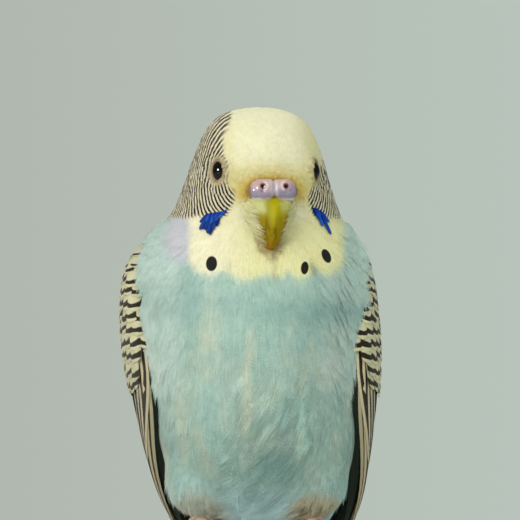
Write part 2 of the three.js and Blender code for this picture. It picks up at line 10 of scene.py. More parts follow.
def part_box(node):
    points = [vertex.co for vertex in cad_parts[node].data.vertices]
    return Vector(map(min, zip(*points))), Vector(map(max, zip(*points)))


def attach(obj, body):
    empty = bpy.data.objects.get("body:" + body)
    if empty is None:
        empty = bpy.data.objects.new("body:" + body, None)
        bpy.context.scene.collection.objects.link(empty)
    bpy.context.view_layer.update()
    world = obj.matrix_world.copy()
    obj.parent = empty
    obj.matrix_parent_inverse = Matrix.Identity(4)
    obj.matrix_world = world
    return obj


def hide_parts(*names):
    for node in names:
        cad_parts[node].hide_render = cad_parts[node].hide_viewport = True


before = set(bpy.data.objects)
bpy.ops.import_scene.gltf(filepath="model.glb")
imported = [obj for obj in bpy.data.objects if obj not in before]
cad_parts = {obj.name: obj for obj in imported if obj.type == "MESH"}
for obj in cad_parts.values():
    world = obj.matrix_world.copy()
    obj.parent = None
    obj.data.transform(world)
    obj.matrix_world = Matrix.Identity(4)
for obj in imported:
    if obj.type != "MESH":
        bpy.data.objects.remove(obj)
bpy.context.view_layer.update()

# A life-size budgerigar on a perch and display stand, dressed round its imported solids.
# All sizes are millimetres in the bird's own frame: the origin is the middle of the perch's top,
# x runs to the bird's left, y to its back and z up.

MM = 0.001
SEED = 20

PERCH_LOW, PERCH_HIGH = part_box("perch")
ORIGIN = np.array([(PERCH_LOW.x + PERCH_HIGH.x) / 2, (PERCH_LOW.y + PERCH_HIGH.y) / 2, PERCH_HIGH.z])
PERCH_RADIUS = (PERCH_HIGH.z - PERCH_LOW.z) / 2 / MM
UP = np.array([0.0, 0.0, 1.0])


def to_world(points):
    return np.asarray(points, float) * MM + ORIGIN


def from_world(points):
    return (np.asarray(points, float) - ORIGIN) / MM


def unit(vectors):
    vectors = np.asarray(vectors, float)
    return vectors / np.maximum(np.linalg.norm(vectors, axis=-1, keepdims=True), 1e-9)


def lerp(a, b, share):
    return a + (b - a) * share


def smooth(low, high, value):
    """0 below low, 1 above high, and a soft step between them."""
    t = np.clip((np.asarray(value, float) - low) / (high - low), 0, 1)
    return t * t * (3 - 2 * t)


def bell(off, width):
    """1 where off is 0, and soft slopes about this wide on both sides of it."""
    return np.exp(-((off / width) ** 2))


def read_off(table, at):
    """The value at a place, between the rows of a table of places and values."""
    return np.interp(at, *np.array(table).T)


def push(points, direction, amount):
    """Points moved along a direction, each by its own amount."""
    return points + direction * amount[:, None]


def srgb(red, green, blue):
    """A colour as it looks on a screen, 0 to 255, as linear light."""
    c = np.array([red, green, blue]) / 255
    return np.where(c <= 0.04045, c / 12.92, ((c + 0.055) / 1.055) ** 2.4)


# Places on the bird, taken from its solids

def node_points(name):
    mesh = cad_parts[name].data
    flat = np.empty(len(mesh.vertices) * 3)
    mesh.vertices.foreach_get("co", flat)
    return from_world(flat.reshape(-1, 3))


def box_of(name):
    """The lowest and the highest corner of a solid."""
    return from_world([list(corner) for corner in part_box(name)])


def middle(name):
    return box_of(name).mean(axis=0)


def underside(name):
    """The middle of a solid's lowest level."""
    low, high = box_of(name)
    return (low + high) / 2 * [1, 1, 0] + low * [0, 0, 1]


def tree_of(name):
    """A solid's faces, for rays and nearest points."""
    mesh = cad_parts[name].data
    faces = [list(face.vertices) for face in mesh.polygons]
    return BVHTree.FromPolygons(node_points(name).tolist(), faces)


EYES = {side: middle(f"eye_{side}") for side in ("right", "left")}
HEAD_MIDDLE = (EYES["right"] + EYES["left"]) / 2
HEAD_ACROSS = unit(EYES["left"] - EYES["right"])
HEAD_BACK = np.array([-HEAD_ACROSS[1], HEAD_ACROSS[0], 0.0])
CERE_MIDDLE = middle("cere")
EYE_RADIUS = (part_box("eye_left")[1].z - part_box("eye_left")[0].z) / 2 / MM
EYE_TURN = math.radians(66)  # how far from straight ahead each eye looks
EYE_AXES = {
    side: sign * HEAD_ACROSS * math.sin(EYE_TURN) - HEAD_BACK * math.cos(EYE_TURN)
    for side, sign in (("right", -1), ("left", 1))}
EYE_OPENING = 2.05  # half the width of the gap between the lids


def eye_gap(points):
    """Distance from the line along which the nearer eye looks."""
    gaps = []
    for side, place in EYES.items():
        off = np.asarray(points, float) - place
        along = np.maximum(off @ EYE_AXES[side], 0)
        gaps.append(np.sqrt(np.maximum((off * off).sum(axis=-1) - along**2, 0)))
    return np.minimum(*gaps)


def in_head(points):
    """Points measured from the middle between the eyes: to the left, to the back and up."""
    off = np.asarray(points, float) - HEAD_MIDDLE
    return np.stack([off @ HEAD_ACROSS, off @ HEAD_BACK, off[..., 2]], axis=-1)


def from_head(points):
    points = np.asarray(points, float)
    across = points[..., :1] * HEAD_ACROSS
    return HEAD_MIDDLE + across + points[..., 1:2] * HEAD_BACK + points[..., 2:] * UP


# Meshes

def new_object(name, data):
    made = bpy.data.objects.new(name, data)
    bpy.context.scene.collection.objects.link(made)
    return made


def mesh_object(name, points, faces, uvs=None, values=None, normals=None):
    """A new object from arrays. uvs and values are given for each point, by name."""
    mesh = bpy.data.meshes.new(name)
    faces = np.asarray(faces, np.int32)
    count, corners = faces.shape
    mesh.vertices.add(len(points))
    mesh.vertices.foreach_set("co", to_world(points).astype(np.float32).ravel())
    mesh.loops.add(faces.size)
    mesh.loops.foreach_set("vertex_index", faces.ravel())
    mesh.polygons.add(count)
    mesh.polygons.foreach_set("loop_start", np.arange(0, faces.size, corners, dtype=np.int32))
    mesh.polygons.foreach_set("use_smooth", np.ones(count, bool))
    mesh.update(calc_edges=True)
    for layer, coordinates in (uvs or {}).items():
        uv = mesh.uv_layers.new(name=layer)
        uv.data.foreach_set("uv", np.asarray(coordinates, np.float32)[faces.ravel()].ravel())
    for attribute, numbers in (values or {}).items():
        add_values(mesh, attribute, numbers)
    if normals is not None:
        mesh.normals_split_custom_set_from_vertices(np.asarray(normals, np.float32))
    return new_object(name, mesh)


def add_values(mesh, attribute, numbers):
    """A number or a colour for each point of a mesh."""
    numbers = np.asarray(numbers, np.float32)
    if numbers.ndim == 1:
        layer = mesh.attributes.new(attribute, "FLOAT", "POINT")
        layer.data.foreach_set("value", numbers)
        return
    layer = mesh.attributes.new(attribute, "FLOAT_COLOR", "POINT")
    opaque = np.concatenate([numbers, np.ones((len(numbers), 1), np.float32)], axis=1)
    layer.data.foreach_set("color", opaque.ravel())


def mesh_arrays(made):
    """Points and triangles of an object, with its modifiers applied."""
    evaluated = made.evaluated_get(bpy.context.evaluated_depsgraph_get())
    mesh = evaluated.to_mesh()
    mesh.calc_loop_triangles()
    points = np.empty(len(mesh.vertices) * 3)
    mesh.vertices.foreach_get("co", points)
    triangles = np.empty(len(mesh.loop_triangles) * 3, np.int32)
    mesh.loop_triangles.foreach_get("vertices", triangles)
    evaluated.to_mesh_clear()
    return from_world(points.reshape(-1, 3)), triangles.reshape(-1, 3)


def point_normals(points, triangles):
    """The direction in which a surface faces at each point."""
    corners = points[triangles]
    facing = np.cross(corners[:, 1] - corners[:, 0], corners[:, 2] - corners[:, 0])
    total = np.zeros_like(points)
    for k in range(3):
        np.add.at(total, triangles[:, k], facing)
    return unit(total)


def fine_shape(nodes, voxel, swell, rounds):
    """CAD nodes swollen a little, fused and smoothed: points, triangles and normals."""
    parts = []
    triangles = []
    start = 0
    for name in nodes:
        points = node_points(name)
        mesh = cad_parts[name].data
        mesh.calc_loop_triangles()
        corners = np.empty(len(mesh.loop_triangles) * 3, np.int32)
        mesh.loop_triangles.foreach_get("vertices", corners)
        corners = corners.reshape(-1, 3)
        points, corners = weld(points, corners)
        parts.append(points + swell * point_normals(points, corners))
        triangles.append(corners + start)
        start += len(points)
    draft = mesh_object("draft", np.concatenate(parts), np.concatenate(triangles))
    remesh = draft.modifiers.new("remesh", "REMESH")
    remesh.mode = "VOXEL"
    remesh.voxel_size = voxel * MM
    soften = draft.modifiers.new("soften", "SMOOTH")
    soften.factor = 0.5
    soften.iterations = rounds
    points, triangles = mesh_arrays(draft)
    bpy.data.objects.remove(draft)
    return points, triangles, point_normals(points, triangles)


def weld(points, triangles):
    """Merges points at one place."""
    keys = np.round(points * 1000).astype(np.int64)
    _, first, index = np.unique(keys, axis=0, return_index=True, return_inverse=True)
    triangles = index.ravel()[triangles]
    real = (triangles[:, 0] != triangles[:, 1]) & (triangles[:, 1] != triangles[:, 2])
    real &= triangles[:, 0] != triangles[:, 2]
    return points[first], triangles[real]


def sheet_faces(rows, columns):
    """Triangles between the rows of an open grid of points."""
    index = np.arange(rows * columns).reshape(rows, columns)
    a, b = index[:-1, :-1].ravel(), index[:-1, 1:].ravel()
    d, e = index[1:, :-1].ravel(), index[1:, 1:].ravel()
    return np.concatenate([np.stack([a, b, e], axis=1), np.stack([a, e, d], axis=1)])


def tube_faces(rows, columns):
    """Triangles between the rows of a grid whose columns go all the way round."""
    index = np.arange(rows * columns).reshape(rows, columns)
    a, b = index[:-1], np.roll(index[:-1], -1, axis=1)
    d, e = index[1:], np.roll(index[1:], -1, axis=1)
    halves = [np.stack([a, d, e], axis=-1), np.stack([a, e, b], axis=-1)]
    return np.concatenate([half.reshape(-1, 3) for half in halves])


def edge_pairs(triangles):
    return np.concatenate([triangles[:, [0, 1]], triangles[:, [1, 2]], triangles[:, [2, 0]]])


def mean_around(values, pairs):
    """The mean of the values next to each point."""
    first, second = pairs.T
    size = len(values)
    total = np.stack([np.bincount(first, values[second, k], size) for k in range(3)], axis=1)
    return total / np.bincount(first, minlength=size)[:, None]


def finish_piece(made, material, replaced=()):
    made.data.materials.append(material)
    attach(made, "root")
    if replaced:
        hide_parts(*replaced)


# Camera, stage and light

FRAME_WIDTH = 117.0  # what the photograph shows across, at the bird
VIEW_TARGET = np.array([1.35, -5.0, 60.75])
VIEW_DISTANCE = 850.0
SENSOR = 36.0
WALL_LEFT = srgb(177, 184, 175)
WALL_RIGHT = srgb(184, 196, 187)
FLOOR_RADIUS = 1150.0


def make_camera():
    data = bpy.data.cameras.new("camera")
    data.sensor_width = SENSOR
    data.lens = SENSOR * VIEW_DISTANCE / FRAME_WIDTH
    data.clip_start = 0.01
    data.clip_end = 20
    camera = new_object("camera", data)
    camera.location = to_world(VIEW_TARGET + [0, -VIEW_DISTANCE, 0])
    camera.rotation_euler = (math.pi / 2, 0, 0)
    bpy.context.scene.camera = camera


def area_light(name, place, target, size, watts, colour=(1, 1, 1), mirrored=False):
    """A soft lamp. A mirrored one gives highlights only, and the others none."""
    data = bpy.data.lights.new(name, "AREA")
    data.shape = "DISK"
    data.size = size
    data.energy = watts
    data.color = colour
    lamp = new_object(name, data)
    lamp.location = Vector(place)
    lamp.rotation_euler = (Vector(target) - Vector(place)).to_track_quat("-Z", "Y").to_euler()
    lamp.visible_camera = False
    lamp.visible_glossy = mirrored
    lamp.visible_diffuse = not mirrored


def make_lights():
    heart = to_world([0, 0, 50])
    area_light("key_light", (-1.0, -1.4, 1.1), heart, 1.3, 22, (1, 0.985, 0.95))
    area_light("fill_light", (1.1, -1.2, 0.4), heart, 1.2, 4.5, (0.97, 0.99, 1))
    area_light("eye_light", (-1.3, -0.6, 0.41), to_world(EYES["right"]), 0.34, 26, mirrored=True)
    area_light("back_light", (0.5, 1.6, 1.4), heart, 1.2, 9)


def make_world():
    """A grey-green studio wall, a little lighter to the right, and dimmer in reflections."""
    world = bpy.data.worlds.new("studio")
    bpy.context.scene.world = world
    world.use_nodes = True
    wall = Nodes(world.node_tree)
    where = wall.node("ShaderNodeTexCoord").outputs["Generated"]
    split = wall.node("ShaderNodeSeparateXYZ", {0: where})
    limits = {"Value": split.outputs["X"], "From Min": -0.07, "From Max": 0.07}
    across = wall.node("ShaderNodeMapRange", limits).outputs["Result"]
    mirrored = wall.node("ShaderNodeLightPath").outputs["Is Glossy Ray"]
    background = world.node_tree.nodes["Background"]
    wall.feed(background.inputs["Color"], wall.mix(across, WALL_LEFT, WALL_RIGHT))
    wall.feed(background.inputs["Strength"], wall.math("MULTIPLY_ADD", mirrored, -0.6, 1))


def make_floor():
    sides = 96
    angles = np.linspace(0, 2 * math.pi, sides, endpoint=False)
    level = -ORIGIN[2] / MM
    across, back = FLOOR_RADIUS * np.cos(angles), FLOOR_RADIUS * np.sin(angles)
    rim = np.stack([across, back, np.full(sides, level)], axis=1)
    points = np.concatenate([rim, [[0, 0, level]]])
    faces = [[i, (i + 1) % sides, sides] for i in range(sides)]
    floor = mesh_object("floor", points, faces)
    floor.data.materials.append(plain_material("floor_paint", srgb(196, 200, 194), 0.7))


# Materials

class Nodes:
    """A node tree that is written as sums: every value is the output of a node or a number."""

    def __init__(self, tree):
        self.tree = tree

    def node(self, kind, inputs=None, **settings):
        made = self.tree.nodes.new(kind)
        for key, value in settings.items():
            setattr(made, key, value)
        for key, value in (inputs or {}).items():
            self.feed(made.inputs[key], value)
        return made

    def feed(self, socket, value):
        if isinstance(value, bpy.types.NodeSocket):
            self.tree.links.new(value, socket)
        elif hasattr(value, "__len__") and len(value) == 3 and socket.type == "RGBA":
            socket.default_value = (*value, 1)
        else:
            socket.default_value = value

    def math(self, operation, *values):
        made = self.tree.nodes.new("ShaderNodeMath")
        made.operation = operation
        for socket, value in zip(made.inputs, values):
            self.feed(socket, value)
        return made.outputs[0]

    def times(self, a, b):
        return self.math("MULTIPLY", a, b)

    def plus(self, a, b):
        return self.math("ADD", a, b)

    def minus(self, a, b):
        return self.math("SUBTRACT", a, b)

    def one_minus(self, value):
        return self.math("SUBTRACT", 1.0, value)

    def positive(self, value):
        return self.math("ABSOLUTE", value)

    def sine(self, value):
        return self.math("SINE", value)

    def number(self, attribute):
        return self.node("ShaderNodeAttribute", attribute_name=attribute).outputs["Fac"]

    def colour(self, attribute):
        return self.node("ShaderNodeAttribute", attribute_name=attribute).outputs["Color"]

    def place(self):
        return self.node("ShaderNodeTexCoord").outputs["Object"]

    def noise(self, scale, detail=2.0, stretch=None):
        where = self.place()
        if stretch is not None:
            mapping = self.node("ShaderNodeMapping", {"Vector": where, "Scale": stretch})
            where = mapping.outputs[0]
        made = self.node("ShaderNodeTexNoise", {"Vector": where, "Scale": scale, "Detail": detail})
        return made.outputs["Fac"]

    def step(self, low, high, value):
        """A soft step from 0 to 1 between two values. It falls where low is more than high."""
        made = self.node("ShaderNodeMapRange", interpolation_type="SMOOTHSTEP")
        self.feed(made.inputs["Value"], value)
        self.feed(made.inputs["From Min"], low)
        self.feed(made.inputs["From Max"], high)
        return made.outputs["Result"]

    def mix(self, share, a, b):
        made = self.node("ShaderNodeMix", data_type="RGBA")
        self.feed(made.inputs["Factor"], share)
        self.feed(made.inputs["A"], a)
        self.feed(made.inputs["B"], b)
        return made.outputs["Result"]

    def vary(self, colour, value, low, high):
        """A colour made darker and lighter by a value from 0 to 1."""
        scale = self.node("ShaderNodeMapRange", {"Value": value, "To Min": low, "To Max": high})
        return self.node("ShaderNodeVectorMath", {0: colour, "Scale": scale.outputs[0]},
                         operation="SCALE").outputs[0]


class Shader(Nodes):
    """A material on the surface of a piece."""

    def __init__(self, name):
        self.material = bpy.data.materials.new(name)
        self.material.use_nodes = True
        super().__init__(self.material.node_tree)
        self.surface = self.tree.nodes["Principled BSDF"]

    def bump(self, height, distance, strength=1.0):
        made = self.node("ShaderNodeBump", {"Height": height, "Strength": strength})
        made.inputs["Distance"].default_value = distance * MM
        self.feed(self.surface.inputs["Normal"], made.outputs[0])

    def surface_values(self, **values):
        names = {"colour": "Base Color", "roughness": "Roughness", "metallic": "Metallic",
                 "specular": "Specular IOR Level", "sheen": "Sheen Weight",
                 "sheen_roughness": "Sheen Roughness", "coat": "Coat Weight",
                 "coat_roughness": "Coat Roughness"}
        for key, value in values.items():
            self.feed(self.surface.inputs[names[key]], value)
        return self.material


def grained_material(name, colour, grain, low, high, bump=None, **values):
    """One colour, or the mesh's own tint where colour is None, made darker and lighter by a grain.

    bump holds the scale and detail of another grain, its height in mm and its strength.
    """
    shader = Shader(name)
    base = shader.colour("tint") if colour is None else colour
    tone = shader.vary(base, shader.noise(*grain), low, high)
    if bump:
        scale, detail, height, strength = bump
        shader.bump(shader.noise(scale, detail), height, strength)
    return shader.surface_values(colour=tone, **values)


def plain_material(name, colour, roughness):
    return grained_material(name, colour, (900,), 0.97, 1.03, roughness=roughness)


# Markings of the plumage

CREAM = srgb(243, 237, 204)
CREAM_EDGE = srgb(226, 214, 146)
MASK_CREAM = srgb(236, 230, 176)
MASK_PALE = srgb(243, 235, 203)
LORE_GOLD = srgb(226, 210, 124)
LORE_ORANGE = srgb(222, 190, 88)
STAIN_AND_SHADE_BROWN = srgb(132, 92, 24)
BAR_CREAM = srgb(226, 214, 186)
BAR_BLACK = srgb(38, 31, 20)
EYE_RING_TAN = srgb(176, 154, 118)
LILAC = srgb(202, 198, 208)
SKY_BLUE = srgb(177, 203, 193)
PALE_BLUE = srgb(196, 214, 208)
DEEP_BLUE = srgb(122, 162, 158)
MOTTLE_CREAM = srgb(214, 212, 188)
# VENT_BLUE is lighter than the vent's own blue: painted light for the underside, which faces down. The
# tail coverts take the same blue.
VENT_BLUE = srgb(212, 244, 255)
FOOT_TAN = srgb(196, 182, 150)
FOOT_SHADOW_BROWN = srgb(110, 98, 70)
CHEEK_BLUE = srgb(4, 60, 172)
SPOT_BLACK = srgb(30, 27, 22)
CHEEK_EDGE = srgb(8, 28, 96)
CHEEK_HIGHLIGHT = srgb(56, 128, 216)

MIDDLE_X = -0.6  # where the middle line of the breast lies, as seen from the front
FEET_MIDDLE_X = 0.6

# Where the cream face ends and the bars begin: height over the eyes and distance from the middle,
# for the bird's right side and for its left, where the cream reaches farther over the brow.
FACE_EDGE_RIGHT = [[-10.6, 9.8], [-8.6, 8.9], [-6.9, 7.6], [-5.2, 7.5], [-2.2, 9.4], [0, 9.2],
                   [2.4, 9.6], [6.8, 9.9], [9.5, 8.8], [11.3, 7.6], [13.5, 6.6]]
FACE_EDGE_LEFT = [[-10.6, 10.6], [-8.6, 9.7], [-6.9, 9.0], [-5.2, 9.2], [-2.2, 10.8], [0, 11.8],
                  [2.4, 13.2], [6.8, 13.4], [9.5, 12.0], [11.3, 10.6], [13.5, 9.4]]
CAP_BACK = 9.0  # the cream cap reaches this far behind the eyes
BARS_LOW = -10.4  # height over the eyes at which the bars of the cheek end

NOISE_TABLE = np.random.default_rng(SEED + 7).uniform(-1, 1, 4096)


def ripple(points, size, seed=0.0):
    """Soft noise about 0, from -1 to 1, with features of about the given size."""
    scaled = np.asarray(points, float) / size + 17.3 * seed
    cell = np.floor(scaled).astype(np.int64)
    share = scaled - cell
    share = share * share * (3 - 2 * share)
    total = np.zeros(scaled.shape[:-1])
    for corner in np.ndindex(2, 2, 2):
        x, y, z = np.moveaxis(cell + corner, -1, 0)
        chosen = ((x * 73856093) ^ (y * 19349663) ^ (z * 83492791)) & 4095
        weight = np.prod(np.where(np.array(corner) == 1, share, 1 - share), axis=-1)
        total += weight * NOISE_TABLE[chosen]
    return total


def face_width(head):
    """How far from the middle the cream face reaches, at places measured in the head."""
    right = read_off(FACE_EDGE_RIGHT, head[..., 2])
    left = read_off(FACE_EDGE_LEFT, head[..., 2])
    return np.where(head[..., 0] > 0, left, right)


def bar_share(points):
    """1 where the plumage is barred black and cream, 0 where it isn't."""
    head = in_head(points)
    aside, back, height = np.abs(head[..., 0]), head[..., 1], head[..., 2]
    edge = 0.4 * ripple(points, 1.3, 5)
    side = smooth(-0.3, 0.5, aside - face_width(head) + edge)
    cap = smooth(-0.8, 0.8, back - CAP_BACK + 2 * edge)
    front = np.maximum(side, cap)
    low = BARS_LOW - 26 * smooth(11.5, 19.5, back) - 30 * smooth(15.5, 23.5, back)
    above = smooth(-0.5, 0.5, height - low + 1.5 * edge)
    return front * above * (1 - 0.9 * eye_ring(points))


def eye_ring(points):
    """1 next to an eye, falling to 0 away from it."""
    hidden = 0.7 * smooth(0, 4, in_head(points)[..., 0]) * smooth(-2, -5, in_head(points)[..., 1])
    return (1 - smooth(2.9, 3.6, eye_gap(points))) * (1 - hidden)


def bar_period(points):
    """Distance from bar to bar over the skin."""
    height = in_head(points)[..., 2]
    near = lerp(0.8, 1.02, smooth(-2, 9, in_head(points)[..., 1]))
    near = near * (1 + 0.35 * smooth(1, 6, height))
    return lerp(near, 2.9, smooth(9, 38, -height))


# Lower edge of the cream mask as lobes: middle, half width and lowest point, in the bird's frame.
MASK_LOBES = [[-9.9, 4.3, 57.2], [-1.5, 6.0, 56.2], [4.9, 3.6, 56.6], [10.2, 3.4, 56.2],
              [16.2, 3.8, 57.4]]
MASK_CREST = 63.0  # above this height the mask goes all the way across
MASK_LEFT = 18.6


def mask_share(points):
    """1 in the cream mask over throat and chest, 0 below and beside it."""
    x, y, z = np.moveaxis(np.asarray(points, float), -1, 0)
    inside = np.zeros(x.shape)
    for centre, width, low in MASK_LOBES:
        off = (x - centre) / width
        floor_line = low + 2.6 * off**2
        lobe = smooth(-0.8, 1.4, z - floor_line) * (1 - smooth(0.85, 1.25, np.abs(off)))
        inside = np.maximum(inside, lobe)
    from_edge = x - lerp(-11.9, -13.6, smooth(61, 67, z))
    throat = smooth(MASK_CREST - 2.5, MASK_CREST + 1, z) * smooth(-2.2, 2.2, from_edge)
    throat *= 1 - smooth(MASK_LEFT - 2.0, MASK_LEFT + 1.6, x)
    return np.maximum(inside, throat) * (1 - smooth(2, 6, y))


def parting_shadow(points):
    """How dark the gaps between the lobes of the mask and below the bill are."""
    x, y, z = np.moveaxis(np.asarray(points, float), -1, 0)
    notch = bell(x - 13.1, 0.8) * bell(z - 58.9, 1.6)
    crease = 0.5 * bell(x - 4.4 - 0.1 * (60 - z), 0.6) * smooth(63.5, 61, z) * smooth(55, 57, z)
    notch_left = 0.3 * bell(x + 5.6, 0.8) * bell(z - 59.2, 1.6)
    return (notch + crease + notch_left) * (1 - smooth(2, 6, y))


def blend(colours, other, share):
    share = np.asarray(share)[..., None]
    return colours * (1 - share) + other * share


def layered(colours, *layers):
    """Colours with others laid over them, each with its share at each place."""
    for other, share in layers:
        colours = blend(colours, other, share)
    return colours


def foot_down(points):
    """How much of a place is down over a foot, and its height over that down's upper edge."""
    x, y, z = np.moveaxis(points, -1, 0)
    from_foot = np.abs(x - FEET_MIDDLE_X) - 13.5
    near = smooth(7.5, 4, np.abs(from_foot + 0.5)) * smooth(6, 0, y)
    return near * lerp(0.65, 1, smooth(-4, 4, x)), z - 8.6 + 0.07 * from_foot**2


def body_colour(points):
    """The blue of breast, belly, rump and tail coverts, with painted shade low on the belly and above
    the toes, and painted light under the belly.
    """
    points = np.asarray(points, float)
    x, y, z = np.moveaxis(points, -1, 0)
    stretched = points * [1, 1, 0.6]
    broad = ripple(stretched, 8, 3)
    patches = ripple(stretched, 4.5, 4) + 0.4 * ripple(stretched, 2.2, 11)
    right_side = smooth(2, -16, x)
    mottle = (0.55 + 0.15 * right_side) * smooth(-0.1 - 0.4 * right_side, 0.8, patches)
    teal = bell(x + 3, 7) * smooth(47, 38, z) + 0.6 * smooth(34, 24, z) * smooth(0, -8, x)
    band = bell(z - 50 + 0.06 * x, 3.4) * (0.5 + 0.5 * smooth(-6, 14, x))
    # Painted shade: a broad darker patch low on the belly, where it dips in.
    hollow_shade = bell(x - 4, 6) * bell(z - 16, 9) * (y < 0)
    streak = bell(x + 1.4 + 0.5 * ripple(points, 3, 8), 0.9) * smooth(20, 25, z) * smooth(43, 38, z)
    near, over = foot_down(points)
    strands = smooth(-0.2, 0.5, ripple(points * [1, 1, 0.25], 0.9, 12))
    return layered(
        np.broadcast_to(SKY_BLUE, (*x.shape, 3)),
        (DEEP_BLUE, 0.4 * smooth(-0.4, 0.7, broad)),
        (MOTTLE_CREAM, mottle * smooth(57, 46, z)),
        (PALE_BLUE, 0.7 * smooth(12, 19, np.abs(x - MIDDLE_X)) * smooth(14, 40, z)),
        (DEEP_BLUE, 0.32 * np.minimum(teal, 1)),
        (DEEP_BLUE, 0.6 * band),
        (DEEP_BLUE * 0.85, 0.55 * hollow_shade),
        (MOTTLE_CREAM, 0.65 * streak * (y < 0)),
        # Painted light: the lowest part of the belly turns to the very pale vent blue.
        (VENT_BLUE, 0.8 * (1 - smooth(0, 14, z))),
        (FOOT_TAN, 0.85 * near * smooth(1.2, -1.2, over)),
        # Painted shadow: brown streaks on the down just above the toes.
        (FOOT_SHADOW_BROWN, 0.9 * strands * near * smooth(-1.2, -3.2, over)))


def plumage(points):
    """The colour of the coat at a place, without its black bars."""
    points = np.asarray(points, float)
    head = in_head(points)
    aside, back, height = np.abs(head[..., 0]), head[..., 1], head[..., 2]
    from_middle = np.abs(points[..., 0] - MIDDLE_X)
    lilac = bell(from_middle - 15.6, 4.6) * bell(points[..., 2] - 66, 6.5)
    lilac = 0.95 * smooth(0.2, 0.75, lilac) * (1 - smooth(6, 12, back))
    colour = blend(body_colour(points), LILAC, lilac)
    mask = blend(np.broadcast_to(MASK_CREAM, colour.shape), MASK_PALE, smooth(1, -9, points[..., 0]))
    face = smooth(-13, -9.5, height) * (1 - smooth(-0.5, 0.8, aside - face_width(head)))
    face *= 1 - smooth(CAP_BACK - 1, CAP_BACK + 1, back)
    cream = blend(np.broadcast_to(CREAM, colour.shape), CREAM_EDGE, 0.5 * smooth(5, 11, aside))
    cere = in_head(CERE_MIDDLE)
    off, up = head[..., 0] - cere[0], height - cere[2]
    wide_band = np.hypot(off / 7.2, up / 3.1)
    close_band = np.hypot(off / 5.8, up / 2.9)
    cere_edge = np.hypot(off / 5.6, (up - 0.1) / 2.9)
    from_bill_tip = np.hypot(aside / 3.2, (height + 15.6) / 3.4) + 0.3 * ripple(points, 0.8, 9)
    colour = layered(
        colour,
        (mask, mask_share(points)),
        (cream, face),
        # The gold and orange over the cere, deepest next to it, are partly the face's own colour and
        # partly painted shade where the forehead meets the cere.
        (LORE_GOLD, 0.65 * smooth(2.7, 1.2, wide_band) * smooth(-5, -1, up)),
        (LORE_ORANGE, 0.9 * smooth(1.6, 1.05, close_band) * smooth(-4, -1, up)),
        # Painted shade: a thin brown line in the crease round the edge of the cere.
        (STAIN_AND_SHADE_BROWN, 0.45 * smooth(1.12, 1.0, cere_edge)),
        # Painted shade: brown on the feathers beside the lower part of the bill, where the bill's tip
        # shades them.
        (STAIN_AND_SHADE_BROWN, 0.75 * smooth(1.4, 0.6, from_bill_tip)),
        (BAR_CREAM, bar_share(points)),
        (EYE_RING_TAN, 0.8 * eye_ring(points)))
    return colour * (1 - 0.45 * parting_shadow(points))[..., None]


# Skin

SKIN_NODES = ("head", "neck", "torso", "thigh_right", "thigh_left")
EYE_NODES = ("eye_right", "eye_left")
SKIN_SWELL = 0.3  # closes the gaps between the solids
SKIN_VOXEL = 0.65
FACE_DEPTH = 0.7
BODY_DEPTH = 1.9
VENT = np.array([2.0, 30.0, -16.0])


def coat_depth(points):
    """How deep the coat is: thin on the face, thicker down the body."""
    return lerp(FACE_DEPTH, BODY_DEPTH, smooth(6, 30, -in_head(points)[..., 2]))


def clear_of_eyes(points):
    """Lifts the skin just over the balls of the eyes, and sinks it below them where the lids part."""
    points = points.copy()
    for side, place in EYES.items():
        off = points - place
        reach = np.linalg.norm(off, axis=1)
        along = off @ EYE_AXES[side]
        gap = np.sqrt(np.maximum(reach**2 - along**2, 0))
        least = EYE_RADIUS + lerp(-0.4, 0.34, smooth(EYE_OPENING, EYE_OPENING + 0.45, gap))
        low = (along > 0) & (gap < 3.5) & (reach < least)
        points[low] = place + off[low] * (least[low] / reach[low])[:, None]
        high = (along > 0) & (gap < EYE_OPENING) & (reach > least)
        points[high] = place + off[high] * (least[high] / reach[high])[:, None]
    return points


def flow(points, normals, round_eyes=0.0):
    """The direction in which feathers lie: away from the bill, down the nape, breast and back."""
    points = np.asarray(points, float)
    head = in_head(points)
    aside, back, height = np.moveaxis(head, -1, 0)
    low = smooth(3, -5, height)
    across = np.tanh(aside / 2) * 7.5 * low
    source = np.stack([across, lerp(-11.5, -9, low), lerp(-6, -2.5, low)], axis=-1)
    away = unit(head - source)
    away[..., 1] += 0.5 * smooth(0, 8, back)
    away = away[..., :1] * HEAD_ACROSS + away[..., 1:2] * HEAD_BACK + away[..., 2:] * UP
    down = unit(unit(VENT - points) + [0, 0, -0.8])
    x, z = points[..., 0], points[..., 2]
    slant = smooth(-2, 2, x) * smooth(20, 8, x) * smooth(34, 22, z) * (points[..., 1] < 0)
    down = down - 0.6 * slant[..., None] * np.array([1.0, 0, 0])
    share = np.maximum(smooth(4, 12, back - 0.35 * np.abs(aside)), smooth(-12, -24, height))
    field = lerp(away, down, share[..., None])
    for place in EYES.values():
        off = points - place
        near = bell(np.linalg.norm(off, axis=-1), 4.0)
        field = field + unit(off) * (round_eyes * near)[..., None]
    field = field - normals * (field * normals).sum(axis=-1)[..., None]
    return unit(field)


def even_out(values, triangles, rounds):
    """Directions over a surface, each made more like those around it."""
    pairs = edge_pairs(triangles)
    for _ in range(rounds):
        values = unit(values + mean_around(values, pairs))
    return values


